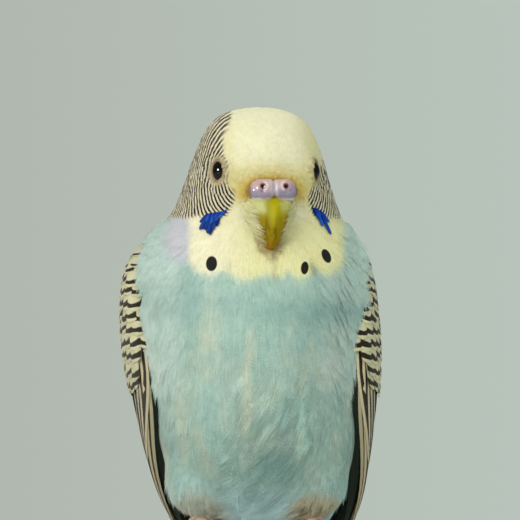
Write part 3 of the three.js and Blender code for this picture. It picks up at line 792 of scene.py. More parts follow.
class Surface:
    """A closed shape that feathers are laid on."""

    def __init__(self, points, triangles):
        self.points, self.triangles = points, triangles
        self.normals = point_normals(points, triangles)
        soft = even_out(self.normals, triangles, 40)
        _, back, height = in_head(points).T
        brow = smooth(8.0, 5.5, eye_gap(points)) * smooth(1.5, -1.0, back)
        share = np.maximum(smooth(-12, -24, height), brow)
        self.normals = unit(lerp(self.normals, soft, share[:, None]))
        self.tree = BVHTree.FromPolygons(points.tolist(), triangles.tolist())

    def nearest(self, points):
        """The nearest places, and the corners of their triangles with the share of each."""
        flat = np.asarray(points, float).reshape(-1, 3)
        found = [self.tree.find_nearest(Vector(p)) for p in flat]
        places = np.array([hit[0] for hit in found])
        corners = self.triangles[[hit[2] for hit in found]]
        share = 1 / np.maximum(np.linalg.norm(self.points[corners] - places[:, None], axis=-1), 1e-3)
        return places, corners, share / share.sum(axis=1, keepdims=True)

    def settle(self, points):
        """The nearest places and the directions that face out there."""
        places, corners, share = self.nearest(points)
        outward = (self.normals[corners] * share[..., None]).sum(axis=1)
        return places, unit(outward)

    def scatter(self, spacing, tries, seed, wanted=None):
        """Random places no closer to each other than spacing, which is a function of place."""
        rng = np.random.default_rng(seed)
        corners = self.points[self.triangles]
        one, two, three = corners.swapaxes(0, 1)
        area = np.linalg.norm(np.cross(two - one, three - one), axis=1)
        chance = area / spacing(corners.mean(axis=1)) ** 2
        if wanted is not None:
            chance = chance * wanted(corners.mean(axis=1))
        chosen = rng.choice(len(area), tries, p=chance / chance.sum())
        shares = rng.random((tries, 2))
        over = shares.sum(axis=1) > 1
        shares[over] = 1 - shares[over]
        a, b, c = corners[chosen, 0], corners[chosen, 1], corners[chosen, 2]
        places = a + (b - a) * shares[:, :1] + (c - a) * shares[:, 1:]
        return places[spread_out(places, spacing(places))]


def fill_creases(points, triangles, rounds=30):
    """Smooths the skin between thighs and belly, where fluff hides the shape of the leg."""
    pairs = edge_pairs(triangles)
    low = smooth(30, 20, points[:, 2])[:, None]
    for _ in range(rounds):
        points = lerp(points, mean_around(points, pairs), 0.6 * low)
    return points + 0.5 * low * point_normals(points, triangles)


class Skin(Surface):
    """The bird's skin, with an unwrap round its own upright line and the count of bars over it."""

    def __init__(self):
        points, triangles, normals = fine_shape(SKIN_NODES + EYE_NODES, SKIN_VOXEL, SKIN_SWELL, 6)
        points = fill_creases(points - normals * coat_depth(points)[:, None], triangles)
        super().__init__(clear_of_eyes(points), triangles)
        self.spine()
        self.count_bars()

    def spine(self):
        """The middle and the length along the outline for each height, for the unwrap."""
        z = self.points[:, 2]
        self.levels = np.linspace(z.min(), z.max(), 41)
        slices = [self.points[np.abs(z - level) < 2.5] for level in self.levels]
        lows = np.array([part.min(axis=0) for part in slices])
        highs = np.array([part.max(axis=0) for part in slices])
        self.middles = (lows + highs) / 2
        radii = (highs - lows)[:, :2].mean(axis=1) / 2
        radii[[0, -1]] = 0
        steps = np.hypot(np.diff(self.levels), np.diff(radii))
        lengths = np.concatenate([[0], np.cumsum(steps)])
        self.lengths = lengths / lengths[-1]

    def unwrap(self, points):
        z = points[:, 2]
        x = points[:, 0] - np.interp(z, self.levels, self.middles[:, 0])
        y = points[:, 1] - np.interp(z, self.levels, self.middles[:, 1])
        u = np.arctan2(x, -y) / (2 * math.pi) + 0.5
        v = np.interp(z, self.levels, self.lengths)
        return np.stack([u, v], axis=1) * 0.96 + 0.02

    def count_bars(self):
        """Counts the bars over the skin so that they cross the lie of the feathers evenly."""
        a, b = np.unique(np.sort(edge_pairs(self.triangles), axis=1), axis=0).T
        heading = flow(self.points, self.normals)
        halfway = (self.points[a] + self.points[b]) / 2
        step = self.points[b] - self.points[a]
        wanted = ((heading[a] + heading[b]) / 2 * step).sum(axis=1) / bar_period(halfway)
        weight = 0.05 + bar_share(halfway)
        size = len(self.points)

        def spread(values):
            return np.bincount(b, values, size) - np.bincount(a, values, size)

        self.phase = solve(lambda f: spread(weight * (f[b] - f[a])), spread(weight * wanted), 500)
        behind_eyes = smooth(0, 3, in_head(self.points)[:, 1])
        muddle = bell(eye_gap(self.points) - 5.5, 2.5) * behind_eyes
        self.phase = self.phase + 0.3 * muddle * ripple(self.points, 1.6, 2)
        self.find_slope()

    def find_slope(self):
        """How fast, and in which direction, the count of bars rises at each point."""
        p, f = self.points[self.triangles], self.phase[self.triangles]
        facing = np.cross(p[:, 1] - p[:, 0], p[:, 2] - p[:, 0])
        sides = [p[:, (k + 2) % 3] - p[:, (k + 1) % 3] for k in range(3)]
        rise = sum(f[:, k, None] * np.cross(facing, side) for k, side in enumerate(sides))
        total = np.zeros_like(self.points)
        amount = np.zeros(len(self.points))
        area = np.linalg.norm(facing, axis=1)
        for k in range(3):
            np.add.at(total, self.triangles[:, k], rise / np.maximum(area, 1e-9)[:, None])
            np.add.at(amount, self.triangles[:, k], area)
        self.slope = total / np.maximum(amount, 1e-9)[:, None]

    def bars_at(self, points):
        """The count of bars, and its slope, at the nearest places on the skin."""
        _, corners, share = self.nearest(points)
        phase = (self.phase[corners] * share).sum(axis=1)
        slope = (self.slope[corners] * share[..., None]).sum(axis=1)
        return phase, slope


def solve(apply, wanted, rounds):
    """Conjugate gradients for a symmetric sum."""
    value = np.zeros_like(wanted)
    left = wanted.copy()
    ahead = left.copy()
    size = left @ left
    for _ in range(rounds):
        moved = apply(ahead)
        reach = size / max(ahead @ moved, 1e-30)
        value += reach * ahead
        left -= reach * moved
        new_size = left @ left
        ahead = left + new_size / size * ahead
        size = new_size
    return value


def spread_out(places, gaps):
    """Numbers of the places that are kept, so that none is within its gap of an earlier one."""
    cell = float(gaps.max())
    grid = {}
    kept = []
    keys = np.floor(places / cell).astype(int)
    around = [(i, j, k) for i in (-1, 0, 1) for j in (-1, 0, 1) for k in (-1, 0, 1)]
    for n, (key, place, gap) in enumerate(zip(keys.tolist(), places.tolist(), gaps.tolist())):
        near = (grid.get((key[0] + i, key[1] + j, key[2] + k), ()) for i, j, k in around)
        if any(math.dist(place, other) < gap for cell_places in near for other in cell_places):
            continue
        grid.setdefault(tuple(key), []).append(place)
        kept.append(n)
    return np.array(kept)


def stripes(shader):
    """Black bars: 1 on a bar, where the place is barred."""
    wave = shader.sine(shader.times(shader.number("phase"), 2 * math.pi))
    line = shader.step(-0.2, 0.2, wave)
    return shader.times(line, shader.number("bar"))


# Spots on the throat: middle across and up, half width, half height and lean in degrees.
SPOTS = [[-9.35, 59.95, 1.25, 1.68, 4], [11.25, 59.0, 0.86, 1.45, 6], [16.1, 61.65, 0.95, 1.65, -24]]


def spots(shader):
    """1 on the black spots of the throat."""
    where = shader.node("ShaderNodeSeparateXYZ", {0: shader.place()})
    total = None
    for across, up, half_width, half_height, lean in SPOTS:
        x = shader.minus(where.outputs["X"], float(to_world([across, 0, 0])[0]))
        z = shader.minus(where.outputs["Z"], float(to_world([0, 0, up])[2]))
        turn = math.radians(lean)
        u = shader.minus(shader.times(x, math.cos(turn)), shader.times(z, math.sin(turn)))
        v = shader.plus(shader.times(x, math.sin(turn)), shader.times(z, math.cos(turn)))
        squares = [shader.math("POWER", shader.math("DIVIDE", shader.positive(side), half * MM), 2.0)
                   for side, half in ((u, half_width), (v, half_height))]
        inside = shader.one_minus(shader.step(0.8, 1.15, shader.plus(*squares)))
        total = inside if total is None else shader.math("MAXIMUM", total, inside)
    front = shader.math("LESS_THAN", where.outputs["Y"], float(to_world([0, 0, 0])[1]))
    return shader.times(total, front)


def marked(shader, tint):
    """The plumage's colour with its black bars and spots."""
    colour = shader.mix(stripes(shader), tint, BAR_BLACK)
    return shader.mix(spots(shader), colour, SPOT_BLACK)


def skin_material():
    shader = Shader("skin")
    tint = shader.vary(shader.colour("tint"), shader.noise(900), 0.85, 1.0)
    colour = marked(shader, tint)
    shader.bump(shader.noise(1500, 3), 0.2)
    return shader.surface_values(colour=colour, roughness=0.85)


# Coat

class Pattern:
    """A feather drawn flat: share along it and share of its half width across."""

    def __init__(self, rng, rows, columns, barbs, free, spread, bends=1):
        along = np.linspace(0, 0.86, rows)
        across = np.linspace(-1, 1, columns)
        s, c = np.meshgrid(along, across, indexing="ij")
        self.points = [np.stack([s.ravel(), (c * self.outline(s)).ravel()], axis=1)]
        self.tones = [np.ones(rows * columns)]
        self.count = rows * columns
        self.faces = [sheet_faces(rows, columns)]
        for share in np.linspace(-1, 1, barbs):
            self.barb(rng, share, free, spread, bends)
        self.points = np.concatenate(self.points)
        self.faces = np.concatenate(self.faces)
        self.tones = np.concatenate(self.tones)

    @staticmethod
    def outline(s):
        return np.minimum(1, 0.35 + 1.5 * s) * np.sqrt(np.clip(1 - ((s - 0.45) / 0.62) ** 4, 0.05, 1))

    def barb(self, rng, share, free, spread, bends):
        """A free barb that grows from the edge of the vane. share runs round its tip."""
        s = 0.86 - 0.5 * abs(share) ** 1.5
        c = np.sign(share) * self.outline(np.array(s)) * min(1.0, abs(share) * 1.35) * 0.9
        length = free * (0.7 + 0.5 * rng.random())
        lean = spread * share + 0.25 * (rng.random() - 0.5)
        width = 0.09 + 0.05 * rng.random()
        start = self.count
        rings = []
        for k in range(bends):
            t = k / bends
            at = [s + length * t - 0.1 * (k == 0), c + lean * t**1.3]
            rings.append([[at[0], at[1] - width * (1 - t)], [at[0], at[1] + width * (1 - t)]])
        tip = [[s + length, c + lean]]
        self.points.append(np.array([p for ring in rings for p in ring] + tip))
        for k in range(bends - 1):
            a = start + 2 * k
            self.faces.append(np.array([[a, a + 1, a + 3], [a, a + 3, a + 2]]))
        last = start + 2 * bends
        self.faces.append(np.array([[last - 2, last - 1, last]]))
        self.tones.append(np.full(2 * bends + 1, rng.uniform(0.9, 1.08)))
        self.count += 2 * bends + 1


STATIONS = 4  # places along each feather at which it is settled on the surface
TUFT_PATCH = 0.003
CUP = 0.05  # how far a feather's edges sink, as a share of its half width
ROLL = 0.03
ARCH = 0.06  # how far its edges seem turned
COAT_TRIES = 90000  # random places tried, of which those too close to others are left out
FLANK_SPACING, FLANK_TRIES = 0.95, 9000
BELLY_SPACING, BELLY_TRIES = 1.15, 6000


class Coat:
    """Feathers laid over the skin, gathered as arrays and made into pieces at the end."""

    def __init__(self, skin):
        self.skin = skin
        self.points, self.faces, self.normals = [], [], []
        self.roots, self.local = [], []
        self.values = {"tint": [], "phase": [], "bar": [], "shade": []}
        self.count = 0

    def lay(self, surface, roots, directions, sizes, patterns, seed, own_tone=0.018):
        """One feather at each root. sizes are rows of length, half width, root and tip height."""
        rng = np.random.default_rng(seed)
        lengths = sizes[:, 0]
        path, outward = [roots], [surface.settle(roots)[1]]
        heading = directions
        for _ in range(STATIONS - 1):
            ahead = path[-1] + heading * (lengths / (STATIONS - 1))[:, None]
            place, normal = surface.settle(ahead)
            heading = unit(place - path[-1])
            path.append(place)
            outward.append(normal)
        path, outward = np.stack(path, axis=1), unit(np.stack(outward, axis=1))
        phase, slope = self.skin.bars_at(path)
        along = unit(np.gradient(path, axis=1))
        fields = {"path": path, "outward": outward, "along": along,
                  "aside": unit(np.cross(along, outward)),
                  "phase": phase.reshape(path.shape[:2] + (1,)),
                  "slope": slope.reshape(path.shape)}
        kinds = rng.integers(0, len(patterns), len(roots))
        twist = rng.normal(0, ROLL, len(roots))
        for kind, pattern in enumerate(patterns):
            mine = np.flatnonzero(kinds == kind)
            if len(mine):
                own = {key: field[mine] for key, field in fields.items()}
                self.place(pattern, own, sizes[mine, :, None], twist[mine, None], own_tone, rng)

    def place(self, pattern, fields, sizes, twist, own_tone, rng):
        lengths, widths, low_end, high_end = np.moveaxis(sizes, 1, 0)
        s, c = pattern.points[:, 0], pattern.points[:, 1]
        inside = np.clip(s, 0, 1) * (STATIONS - 1)
        low = np.minimum(inside.astype(int), STATIONS - 2)
        share = (inside - low)[None, :, None]
        at = {key: field[:, low] * (1 - share) + field[:, low + 1] * share
              for key, field in fields.items()}
        normal, sideways, forward = unit(at["outward"]), unit(at["aside"]), unit(at["along"])
        lift = lerp(high_end, low_end, (1 - np.minimum(s, 1)) ** 2) - CUP * widths * c**2 + twist * c
        along_skin = forward * (np.clip(s - 1, 0, None) * lengths)[..., None]
        along_skin = along_skin + sideways * (c * widths)[..., None]
        points = at["path"] + along_skin + normal * lift[..., None]
        n, per = points.shape[:2]
        phase = at["phase"][..., 0] + (at["slope"] * along_skin).sum(axis=-1)
        phase = phase + rng.normal(0, 0.02, (n, 1))
        self.points.append(points.reshape(-1, 3))
        turned = unit(normal + sideways * (ARCH * c)[:, None] + 0.02 * forward)
        self.normals.append(turned.reshape(-1, 3))
        starts = self.count + per * np.arange(n)
        self.faces.append((pattern.faces[None] + starts[:, None, None]).reshape(-1, 3))
        self.count += n * per
        self.roots.append(np.repeat(self.skin.unwrap(fields["path"][:, 0]), per, axis=0))
        self.local.append(np.tile(np.stack([c * 0.5, s - 0.5], axis=1), (n, 1)))
        self.values["phase"].append(phase.ravel())
        self.paint(points, s, pattern.tones, own_tone, rng)

    def paint(self, points, s, tones, own_tone, rng):
        """Colours each feather by where it lies, with a little of its own tone."""
        n = len(points)
        looked_at = points + rng.normal(0, 0.2, (n, 1, 3))
        own = 1 + own_tone * np.clip(rng.normal(0, 1, (n, 1, 1)), -1.6, 1.2)
        own = own + rng.normal(0, 0.006, (n, 1, 3))
        tint = plumage(looked_at) * own * tones[:, None]
        self.values["tint"].append(np.clip(tint, 0, 1).reshape(-1, 3))
        self.values["bar"].append(bar_share(points).ravel())
        self.values["shade"].append(np.tile(s, n))

    def pieces(self, name, material, most=190000):
        """Makes the pieces, each under the given number of triangles."""
        points, normals = np.concatenate(self.points), np.concatenate(self.normals)
        faces, roots = np.concatenate(self.faces), np.concatenate(self.roots)
        local = np.concatenate(self.local)
        values = {key: np.concatenate(parts) for key, parts in self.values.items()}
        parts = math.ceil(len(faces) / most)
        for k, chosen in enumerate(np.array_split(np.arange(len(faces)), parts)):
            used, index = np.unique(faces[chosen], return_inverse=True)
            piece = mesh_object(
                f"{name}_{k + 1}", points[used], index.reshape(-1, 3),
                uvs={"OFBake": roots[used] + TUFT_PATCH * local[used], "vane": local[used] + 0.5},
                values={key: numbers[used] for key, numbers in values.items()},
                normals=normals[used])
            piece.visible_shadow = False  # down lets light through, so no tuft darkens the next
            finish_piece(piece, material)


def coat_material():
    shader = Shader("plumage")
    vane = shader.node("ShaderNodeUVMap", uv_map="vane").outputs[0]
    split = shader.node("ShaderNodeSeparateXYZ", {0: vane})
    aside = shader.positive(shader.minus(split.outputs["X"], 0.5))
    run = shader.minus(split.outputs["Y"], shader.times(aside, 0.9))
    barbs = shader.sine(shader.times(run, 95))
    tint = shader.vary(shader.colour("tint"), shader.noise(700, 3), 0.96, 1.04)
    # Painted shade: each feather darkens towards its root, where it lies under the feathers over it.
    base = shader.step(0.0, 0.75, shader.number("shade"))
    colour = marked(shader, shader.vary(tint, base, 0.88, 1.0))
    shader.bump(barbs, 0.04, 0.35)
    return shader.surface_values(colour=colour, roughness=0.85, specular=0.2, sheen=0.12,
                                 sheen_roughness=0.5)


def feather_size(points):
    """Spacing, length and half width of the feathers at a place."""
    head, cere = in_head(points), in_head(CERE_MIDDLE)
    down = smooth(2, 34, -head[..., 2])
    from_cere = np.hypot((head[..., 0] - cere[0]) / 5.7, (head[..., 2] - cere[2]) / 3.0)
    small = 1 - smooth(3.0, 5.5, eye_gap(points))
    small = np.maximum(small, (1 - smooth(1.1, 1.9, from_cere)) * (head[..., 1] < 0))
    spacing = lerp(lerp(0.66, 1.05, down), 0.46, small)
    length = lerp(lerp(2.2, 8.0, down), 1.15, small)
    half_width = lerp(lerp(0.8, 1.8, down), 0.42, small)
    return spacing, length, half_width


def clear_of_neighbours(points):
    """True for the places that no cere, beak, eye or perch covers."""
    clear = eye_gap(points) > EYE_OPENING + 0.5
    for name in ("cere", "beak_upper", "beak_lower"):
        tree = tree_of(name)
        near = [tree.find_nearest(Vector(p))[3] for p in points]
        clear &= np.array(near) > 0.45
    from_perch = np.hypot(points[:, 1], points[:, 2] + PERCH_RADIUS)
    return clear & (from_perch > PERCH_RADIUS + 1.2)


def make_coat(skin):
    rng = np.random.default_rng(SEED)
    coat = Coat(skin)
    face_patterns = [Pattern(rng, 3, 3, 9, 0.34, 0.5) for _ in range(6)]
    body_patterns = [Pattern(rng, 4, 3, 19, 0.5, 0.4, 2) for _ in range(10)]
    roots = skin.scatter(lambda p: feather_size(p)[0], COAT_TRIES, SEED)
    roots = roots[clear_of_neighbours(roots)]
    normals = skin.settle(roots)[1]
    _, length, half_width = feather_size(roots)
    grow = rng.uniform(0.88, 1.12, len(roots))
    depth = lerp(coat_depth(roots), 0.3, 1 - smooth(2.8, 3.8, eye_gap(roots)))
    depth = depth * rng.uniform(0.95, 1.05, len(roots))
    directions = unit(flow(roots, normals, 1.6) + rng.normal(0, 0.05, (len(roots), 3)))
    over_eye = eye_gap(roots + directions * length[:, None]) < EYE_OPENING + 0.3
    length = np.where(over_eye, length * 0.4, length)
    sizes = np.stack([length * grow, half_width * grow, 0.1 * depth, depth], axis=1)
    face = in_head(roots)[:, 2] > -14
    for chosen, patterns, seed in ((face, face_patterns, 1), (~face, body_patterns, 2)):
        coat.lay(skin, roots[chosen], directions[chosen], sizes[chosen], patterns, SEED + seed)
    flank_plumes(coat, body_patterns)
    belly_plumes(coat, body_patterns)
    coat.pieces("coat", coat_material())


# Edge of the fluffed flank in front of each wing: height, and distance from the middle line.
FLANK_EDGE = [[38, 20.5], [44, 21.8], [50, 22.5], [58, 21.9], [66, 19.5], [70, 17.5]]
# The same for the breast feathers that cover the left shoulder.
SHOULDER_EDGE = [[50, 20.4], [53, 21.6], [58, 21.6], [64, 21.0], [69, 20.0]]


def flank_plumes(coat, patterns):
    """Long soft feathers from the flanks over the leading edge of each wing."""
    points, triangles, _ = fine_shape((*SKIN_NODES, "wing_right", "wing_left"), 0.9, 0.35, 8)
    over = Surface(points, triangles)
    lay_flank(coat, patterns, over, FLANK_EDGE, from_x=-40, rise=0, seed=4)
    lay_flank(coat, patterns, over, SHOULDER_EDGE, from_x=0, rise=0.9, seed=24)


def lay_flank(coat, patterns, over, border, from_x, rise, seed):
    """Feathers inside a border on each side of the body, raised by some mm."""
    rng = np.random.default_rng(SEED + seed)

    def wanted(places):
        x, y, z = places.T
        aside = np.abs(x - MIDDLE_X)
        edge = read_off(border, z)
        near = (aside > edge - 7) & (aside < edge)
        return near & (x > from_x) & (z > border[0][0] - 1) & (z < border[-1][0]) & (y < -4)

    roots = over.scatter(lambda p: np.full(len(p), FLANK_SPACING), FLANK_TRIES, SEED + seed + 1, wanted)
    normals = over.settle(roots)[1]
    side = np.sign(roots[:, :1])
    directions = flow(roots, normals) + side * [0.4, 0, 0] + rng.normal(0, 0.09, (len(roots), 3))
    count = len(roots)
    edge = read_off(border, roots[:, 2])
    outer = smooth(-5, 0, np.abs(roots[:, 0] - MIDDLE_X) - edge)
    rise = rise * (1 - smooth(61, 69, roots[:, 2]))
    tips = rng.uniform(0.0, 0.2, count) + outer * (rise + rng.uniform(0.5, 1.2, count))
    sizes = np.stack([rng.uniform(6, 9, count), rng.uniform(1.2, 1.8, count),
                      np.full(count, -1.3) + rise * outer, tips], axis=1)
    coat.lay(over, roots, unit(directions), sizes, patterns, SEED + seed + 2)


def belly_plumes(coat, patterns):
    """Long loose feathers that lie aslant over the left half of the belly."""
    rng = np.random.default_rng(SEED + 8)

    def wanted(places):
        x, y, z = places.T
        return (x > -3) & (x < 15) & (z > 9) & (z < 41) & (y < 0)

    roots = coat.skin.scatter(lambda p: np.full(len(p), BELLY_SPACING), BELLY_TRIES, SEED + 9, wanted)
    normals = coat.skin.settle(roots)[1]
    slant = np.array([-0.55, 0, 0]) * smooth(-4, 3, roots[:, :1])
    directions = flow(roots, normals) + slant + rng.normal(0, 0.12, (len(roots), 3))
    count = len(roots)
    sizes = np.stack([rng.uniform(8, 12, count), rng.uniform(0.8, 1.5, count), np.full(count, 0.2),
                      BODY_DEPTH + rng.uniform(0.0, 0.5, count)], axis=1)
    coat.lay(coat.skin, roots, unit(directions), sizes, patterns, SEED + 10, own_tone=0.15)


def make_skin(skin):
    made = mesh_object("skin", skin.points, skin.triangles, uvs={"OFBake": skin.unwrap(skin.points)},
                       values={"tint": plumage(skin.points), "phase": skin.phase,
                               "bar": bar_share(skin.points)})
    finish_piece(made, skin_material(), SKIN_NODES)


# Feathers of wings and tail

def vane_grid(rows, columns):
    """Shares along and across a vane, closer together at its tip, and its triangles."""
    along = 1 - (1 - np.linspace(0, 1, rows)) ** 1.7
    across = np.linspace(-1, 1, columns)
    s, c = np.meshgrid(along, across, indexing="ij")
    return s.ravel(), c.ravel(), sheet_faces(rows, columns)


class Plumes:
    """Large single feathers, each on its own patch of the map named OFBake."""

    def __init__(self):
        self.points, self.faces, self.maps = [], [], []
        self.values = {"rim": [], "from_tip": [], "aside": [], "tone": [], "shade": []}
        self.count = 0

    def add(self, place, length, half_width, tip, rng, rows=12, columns=9, thickness=0.1, arch=0.25):
        """One closed vane. place gives points from the share along it, mm aside and mm up."""
        s, c, faces = vane_grid(rows, columns)
        taper = np.minimum(1, 0.5 + 1.6 * s)
        from_tip = (1 - s) * length
        over = np.clip(tip - from_tip, 0, None) / tip
        width = half_width * taper * np.sqrt(np.clip(1 - over**2, 0.0, 1))
        width = np.maximum(width, 0.02 * half_width)
        aside = c * width
        rim = half_width * taper - np.hypot(aside, over * half_width)
        bend = arch * (1 - c**2)
        for side in (1, -1):
            up = bend + side * thickness / 2 * (1 - 0.8 * over)
            points = place(s, aside, up)
            turned = faces if side > 0 else faces[:, ::-1]
            self.faces.append(turned + self.count)
            self.count += len(points)
            self.points.append(points)
            self.maps.append(np.stack([c * 0.5 + 0.5, s], axis=1))
            for key, number in (("rim", rim), ("from_tip", from_tip), ("aside", aside), ("shade", s)):
                self.values[key].append(number)
        tone = rng.random()
        self.values["tone"].append(np.full(2 * len(s), tone))

    def piece(self, name, material, slot, replaced=()):
        """Makes one piece of all the vanes, each with its own cell of the map."""
        cells = math.ceil(math.sqrt(len(self.maps)))
        spread = []
        for k, local in enumerate(self.maps):
            corner = np.array([k % cells, k // cells])
            spread.append((corner + 0.06 + 0.88 * local) / cells)
        values = {key: np.concatenate(parts) for key, parts in self.values.items()}
        made = mesh_object(name, np.concatenate(self.points), np.concatenate(self.faces),
                           uvs={"OFBake": np.concatenate(spread), "vane": np.concatenate(self.maps)},
                           values=values)
        finish_piece(made, material, replaced)


def between(rows, share):
    """The row at a share of the way through three rows."""
    a, b, c = (np.array(row) for row in rows)
    return a * (1 - share) * (1 - 2 * share) + 4 * b * share * (1 - share) + c * share * (2 * share - 1)


# Wings

WING_LEVELS = 44
EDGE_ROUND = 2.2  # the leading edge turns inwards with this radius
WING_LOOK = 70.0  # rays towards the wing start this far from the bird's middle line


class WingMould:
    """The outer face of a folded wing, fitted to its solid."""

    def __init__(self, name, side):
        self.side = side
        both = np.concatenate([node_points("wing_right"), node_points("wing_left")])
        self.top, self.bottom = both[:, 2].max() - 0.5, both[:, 2].min() + 0.5
        self.fit_axis(both)
        tree = tree_of(name)
        levels, edges, samples = [], [], []
        for z in np.linspace(self.top, self.bottom, WING_LEVELS):
            hits = self.look(tree, z)
            if len(hits) < 3:
                continue
            level = self.share_of(z)
            levels.append(level)
            edges.append([hits[0][0], hits[-1][0]])
            for bearing, distance in hits:
                across = (bearing - hits[0][0]) / (hits[-1][0] - hits[0][0])
                samples.append([level, 2 * across - 1, distance])
        self.edges = chebyshev.chebfit(levels, np.array(edges), 9)
        samples = np.array(samples)
        basis = chebyshev.chebvander2d(samples[:, 0], samples[:, 1], (8, 4))
        self.face = np.linalg.lstsq(basis, samples[:, 2], rcond=None)[0].reshape(9, 5)
        self.chords = np.ones(1)
        downs = np.linspace(0, 1, 15)
        self.chords = chebyshev.chebfit(2 * downs - 1, [self.chord(down) for down in downs], 6)

    def share_of(self, z):
        """-1 at the wing's top and 1 at its lowest point."""
        return np.clip(2 * (self.top - z) / (self.top - self.bottom) - 1, -1, 1)

    def fit_axis(self, both):
        """An upright line through the middle of the body, from which the wing is looked at."""
        rows = []
        for z in np.linspace(self.top - 3, self.bottom + 3, 16):
            near = both[np.abs(both[:, 2] - z) < 4]
            rows.append([self.share_of(z), *((near.min(axis=0) + near.max(axis=0)) / 2)[:2]])
        rows = np.array(rows)
        self.axis = chebyshev.chebfit(rows[:, 0], rows[:, 1:], 3)

    def centre(self, level):
        return chebyshev.chebval(level, self.axis)

    def direction(self, bearing):
        angle = np.radians(bearing)
        return np.stack([self.side * np.cos(angle), np.sin(angle)])

    def look(self, tree, z):
        """Bearing and distance of the wing's outer face at a height, front to back."""
        x, y = self.centre(self.share_of(z))
        found = []
        for bearing in np.arange(-75, 115, 1.5):
            dx, dy = self.direction(bearing)
            start = Vector((x + WING_LOOK * dx, y + WING_LOOK * dy, z))
            hit = tree.ray_cast(start, Vector((-dx, -dy, 0)), WING_LOOK)
            if hit[0] is not None:
                found.append((bearing, WING_LOOK - hit[3]))
        return found

    def place(self, down, across, up):
        """A point at a share down the wing, a share back from its leading edge and mm out."""
        down, across, up = np.broadcast_arrays(down, across, up)
        level = np.clip(2 * down - 1, -1, 1)
        leading, trailing = chebyshev.chebval(level, self.edges)
        inside = np.clip(across, 0, 1)
        over = np.maximum(across - 1, 0)
        bearing = leading + (inside + over) * (trailing - leading)
        distance = chebyshev.chebval2d(level, 2 * inside - 1, self.face) - 60 * over**2
        turned = np.maximum(-across, 0) * chebyshev.chebval(level, self.chords) / EDGE_ROUND
        curl = np.minimum(turned, math.pi / 2)
        forward = EDGE_ROUND * np.sin(curl) + up * np.sin(curl)
        distance = distance + up * np.cos(curl) - EDGE_ROUND * (1 - np.cos(curl) + turned - curl)
        x, y = self.centre(level)
        dx, dy = self.direction(bearing)
        z = lerp(self.top, self.bottom, down)
        return np.stack([x + distance * dx + forward * self.side * dy,
                         y + distance * dy - forward * self.side * dx, z], axis=-1)

    def chord(self, down):
        """The wing's width, from front to back, at a share down it."""
        ends = self.place(np.full(9, down), np.linspace(0, 1, 9), 0)
        return np.linalg.norm(np.diff(ends, axis=0), axis=1).sum()

    def length(self, first, last):
        """The way over the wing between two places, each a share down and a share back."""
        way = self.place(np.linspace(first[0], last[0], 9), np.linspace(first[1], last[1], 9), 0)
        return np.linalg.norm(np.diff(way, axis=0), axis=1).sum()


# Each row: share down and across of root and tip, half width, height of root and tip, tip radius.
FLIGHT_TIERS = [
    {"count": 11, "rolls": 0.75, "rows": [
        [0.34, 0.02, 0.90, 0.12, 2.0, -1.5, -0.6, 7.0],
        [0.37, 0.24, 0.985, 0.5, 2.9, -1.9, -0.2, 7.0],
        [0.40, 0.45, 0.80, 0.80, 3.2, -1.8, -0.2, 5.0]]},
    {"count": 8, "rolls": 0.4, "rows": [
        [0.32, 0.36, 0.73, 0.42, 3.6, -1.3, -0.1, 4.0],
        [0.31, 0.64, 0.70, 0.67, 4.0, -1.2, 0.0, 4.0],
        [0.30, 0.92, 0.645, 0.91, 4.2, -1.1, 0.1, 4.2]]},
]
PALE_TIERS = [
    {"count": 5, "rolls": 0.15, "rows": [
        [0.26, -0.03, 0.80, 0.0, 1.4, -0.6, 0.3, 9.0],
        [0.28, 0.02, 0.72, 0.04, 1.4, -0.4, 0.4, 9.0],
        [0.31, 0.09, 0.62, 0.11, 1.5, -0.3, 0.5, 9.0]]},
    {"count": 14, "rolls": 0.25, "rows": [
        [0.23, -0.05, 0.56, 0.02, 1.3, -0.6, 0.1, 5.0],
        [0.21, 0.42, 0.49, 0.48, 3.1, -0.8, 0.1, 3.3],
        [0.20, 0.92, 0.44, 0.92, 3.4, -0.8, 0.1, 3.4]]},
]
COVERT_TIERS = [
    {"count": 11, "rolls": 0.2, "rows": [
        [0.20, 0.02, 0.37, 0.05, 2.6, -0.6, 0.15, 2.6],
        [0.19, 0.5, 0.39, 0.52, 3.1, -0.6, 0.2, 3.1],
        [0.16, 0.93, 0.35, 0.93, 3.1, -0.6, 0.2, 3.1]]},
]
LESSER_ROWS = 12
LESSER_STEP = 0.031  # share of the wing's height from one row of small coverts to the next
LESSER_HALF_WIDTH = 2.2
LINING_THICKNESS = 0.3


def wing_feather(plumes, mould, row, roll, rng, **form):
    """One vane on the wing, from a row as in the tiers. roll is how far its outer edge dips."""
    root_down, root_across, tip_down, tip_across, half_width, root_up, tip_up, tip = row
    length = mould.length((root_down, root_across), (tip_down, tip_across))
    chord = mould.chord(lerp(root_down, tip_down, 0.6))
    shift = rng.normal(0, 0.004, 2)

    def place(s, aside, up):
        down = lerp(root_down, tip_down + shift[0], s)
        across = lerp(root_across, tip_across + shift[1], s) + aside / chord
        height = lerp(root_up, tip_up, s) - roll * aside / half_width + up
        return mould.place(down, across, height)

    plumes.add(place, length, half_width, tip, rng, **form)


def add_tier(plumes, mould, tier, rng, **form):
    for share in np.linspace(1, 0, tier["count"]):
        wing_feather(plumes, mould, between(tier["rows"], share), tier["rolls"], rng, **form)


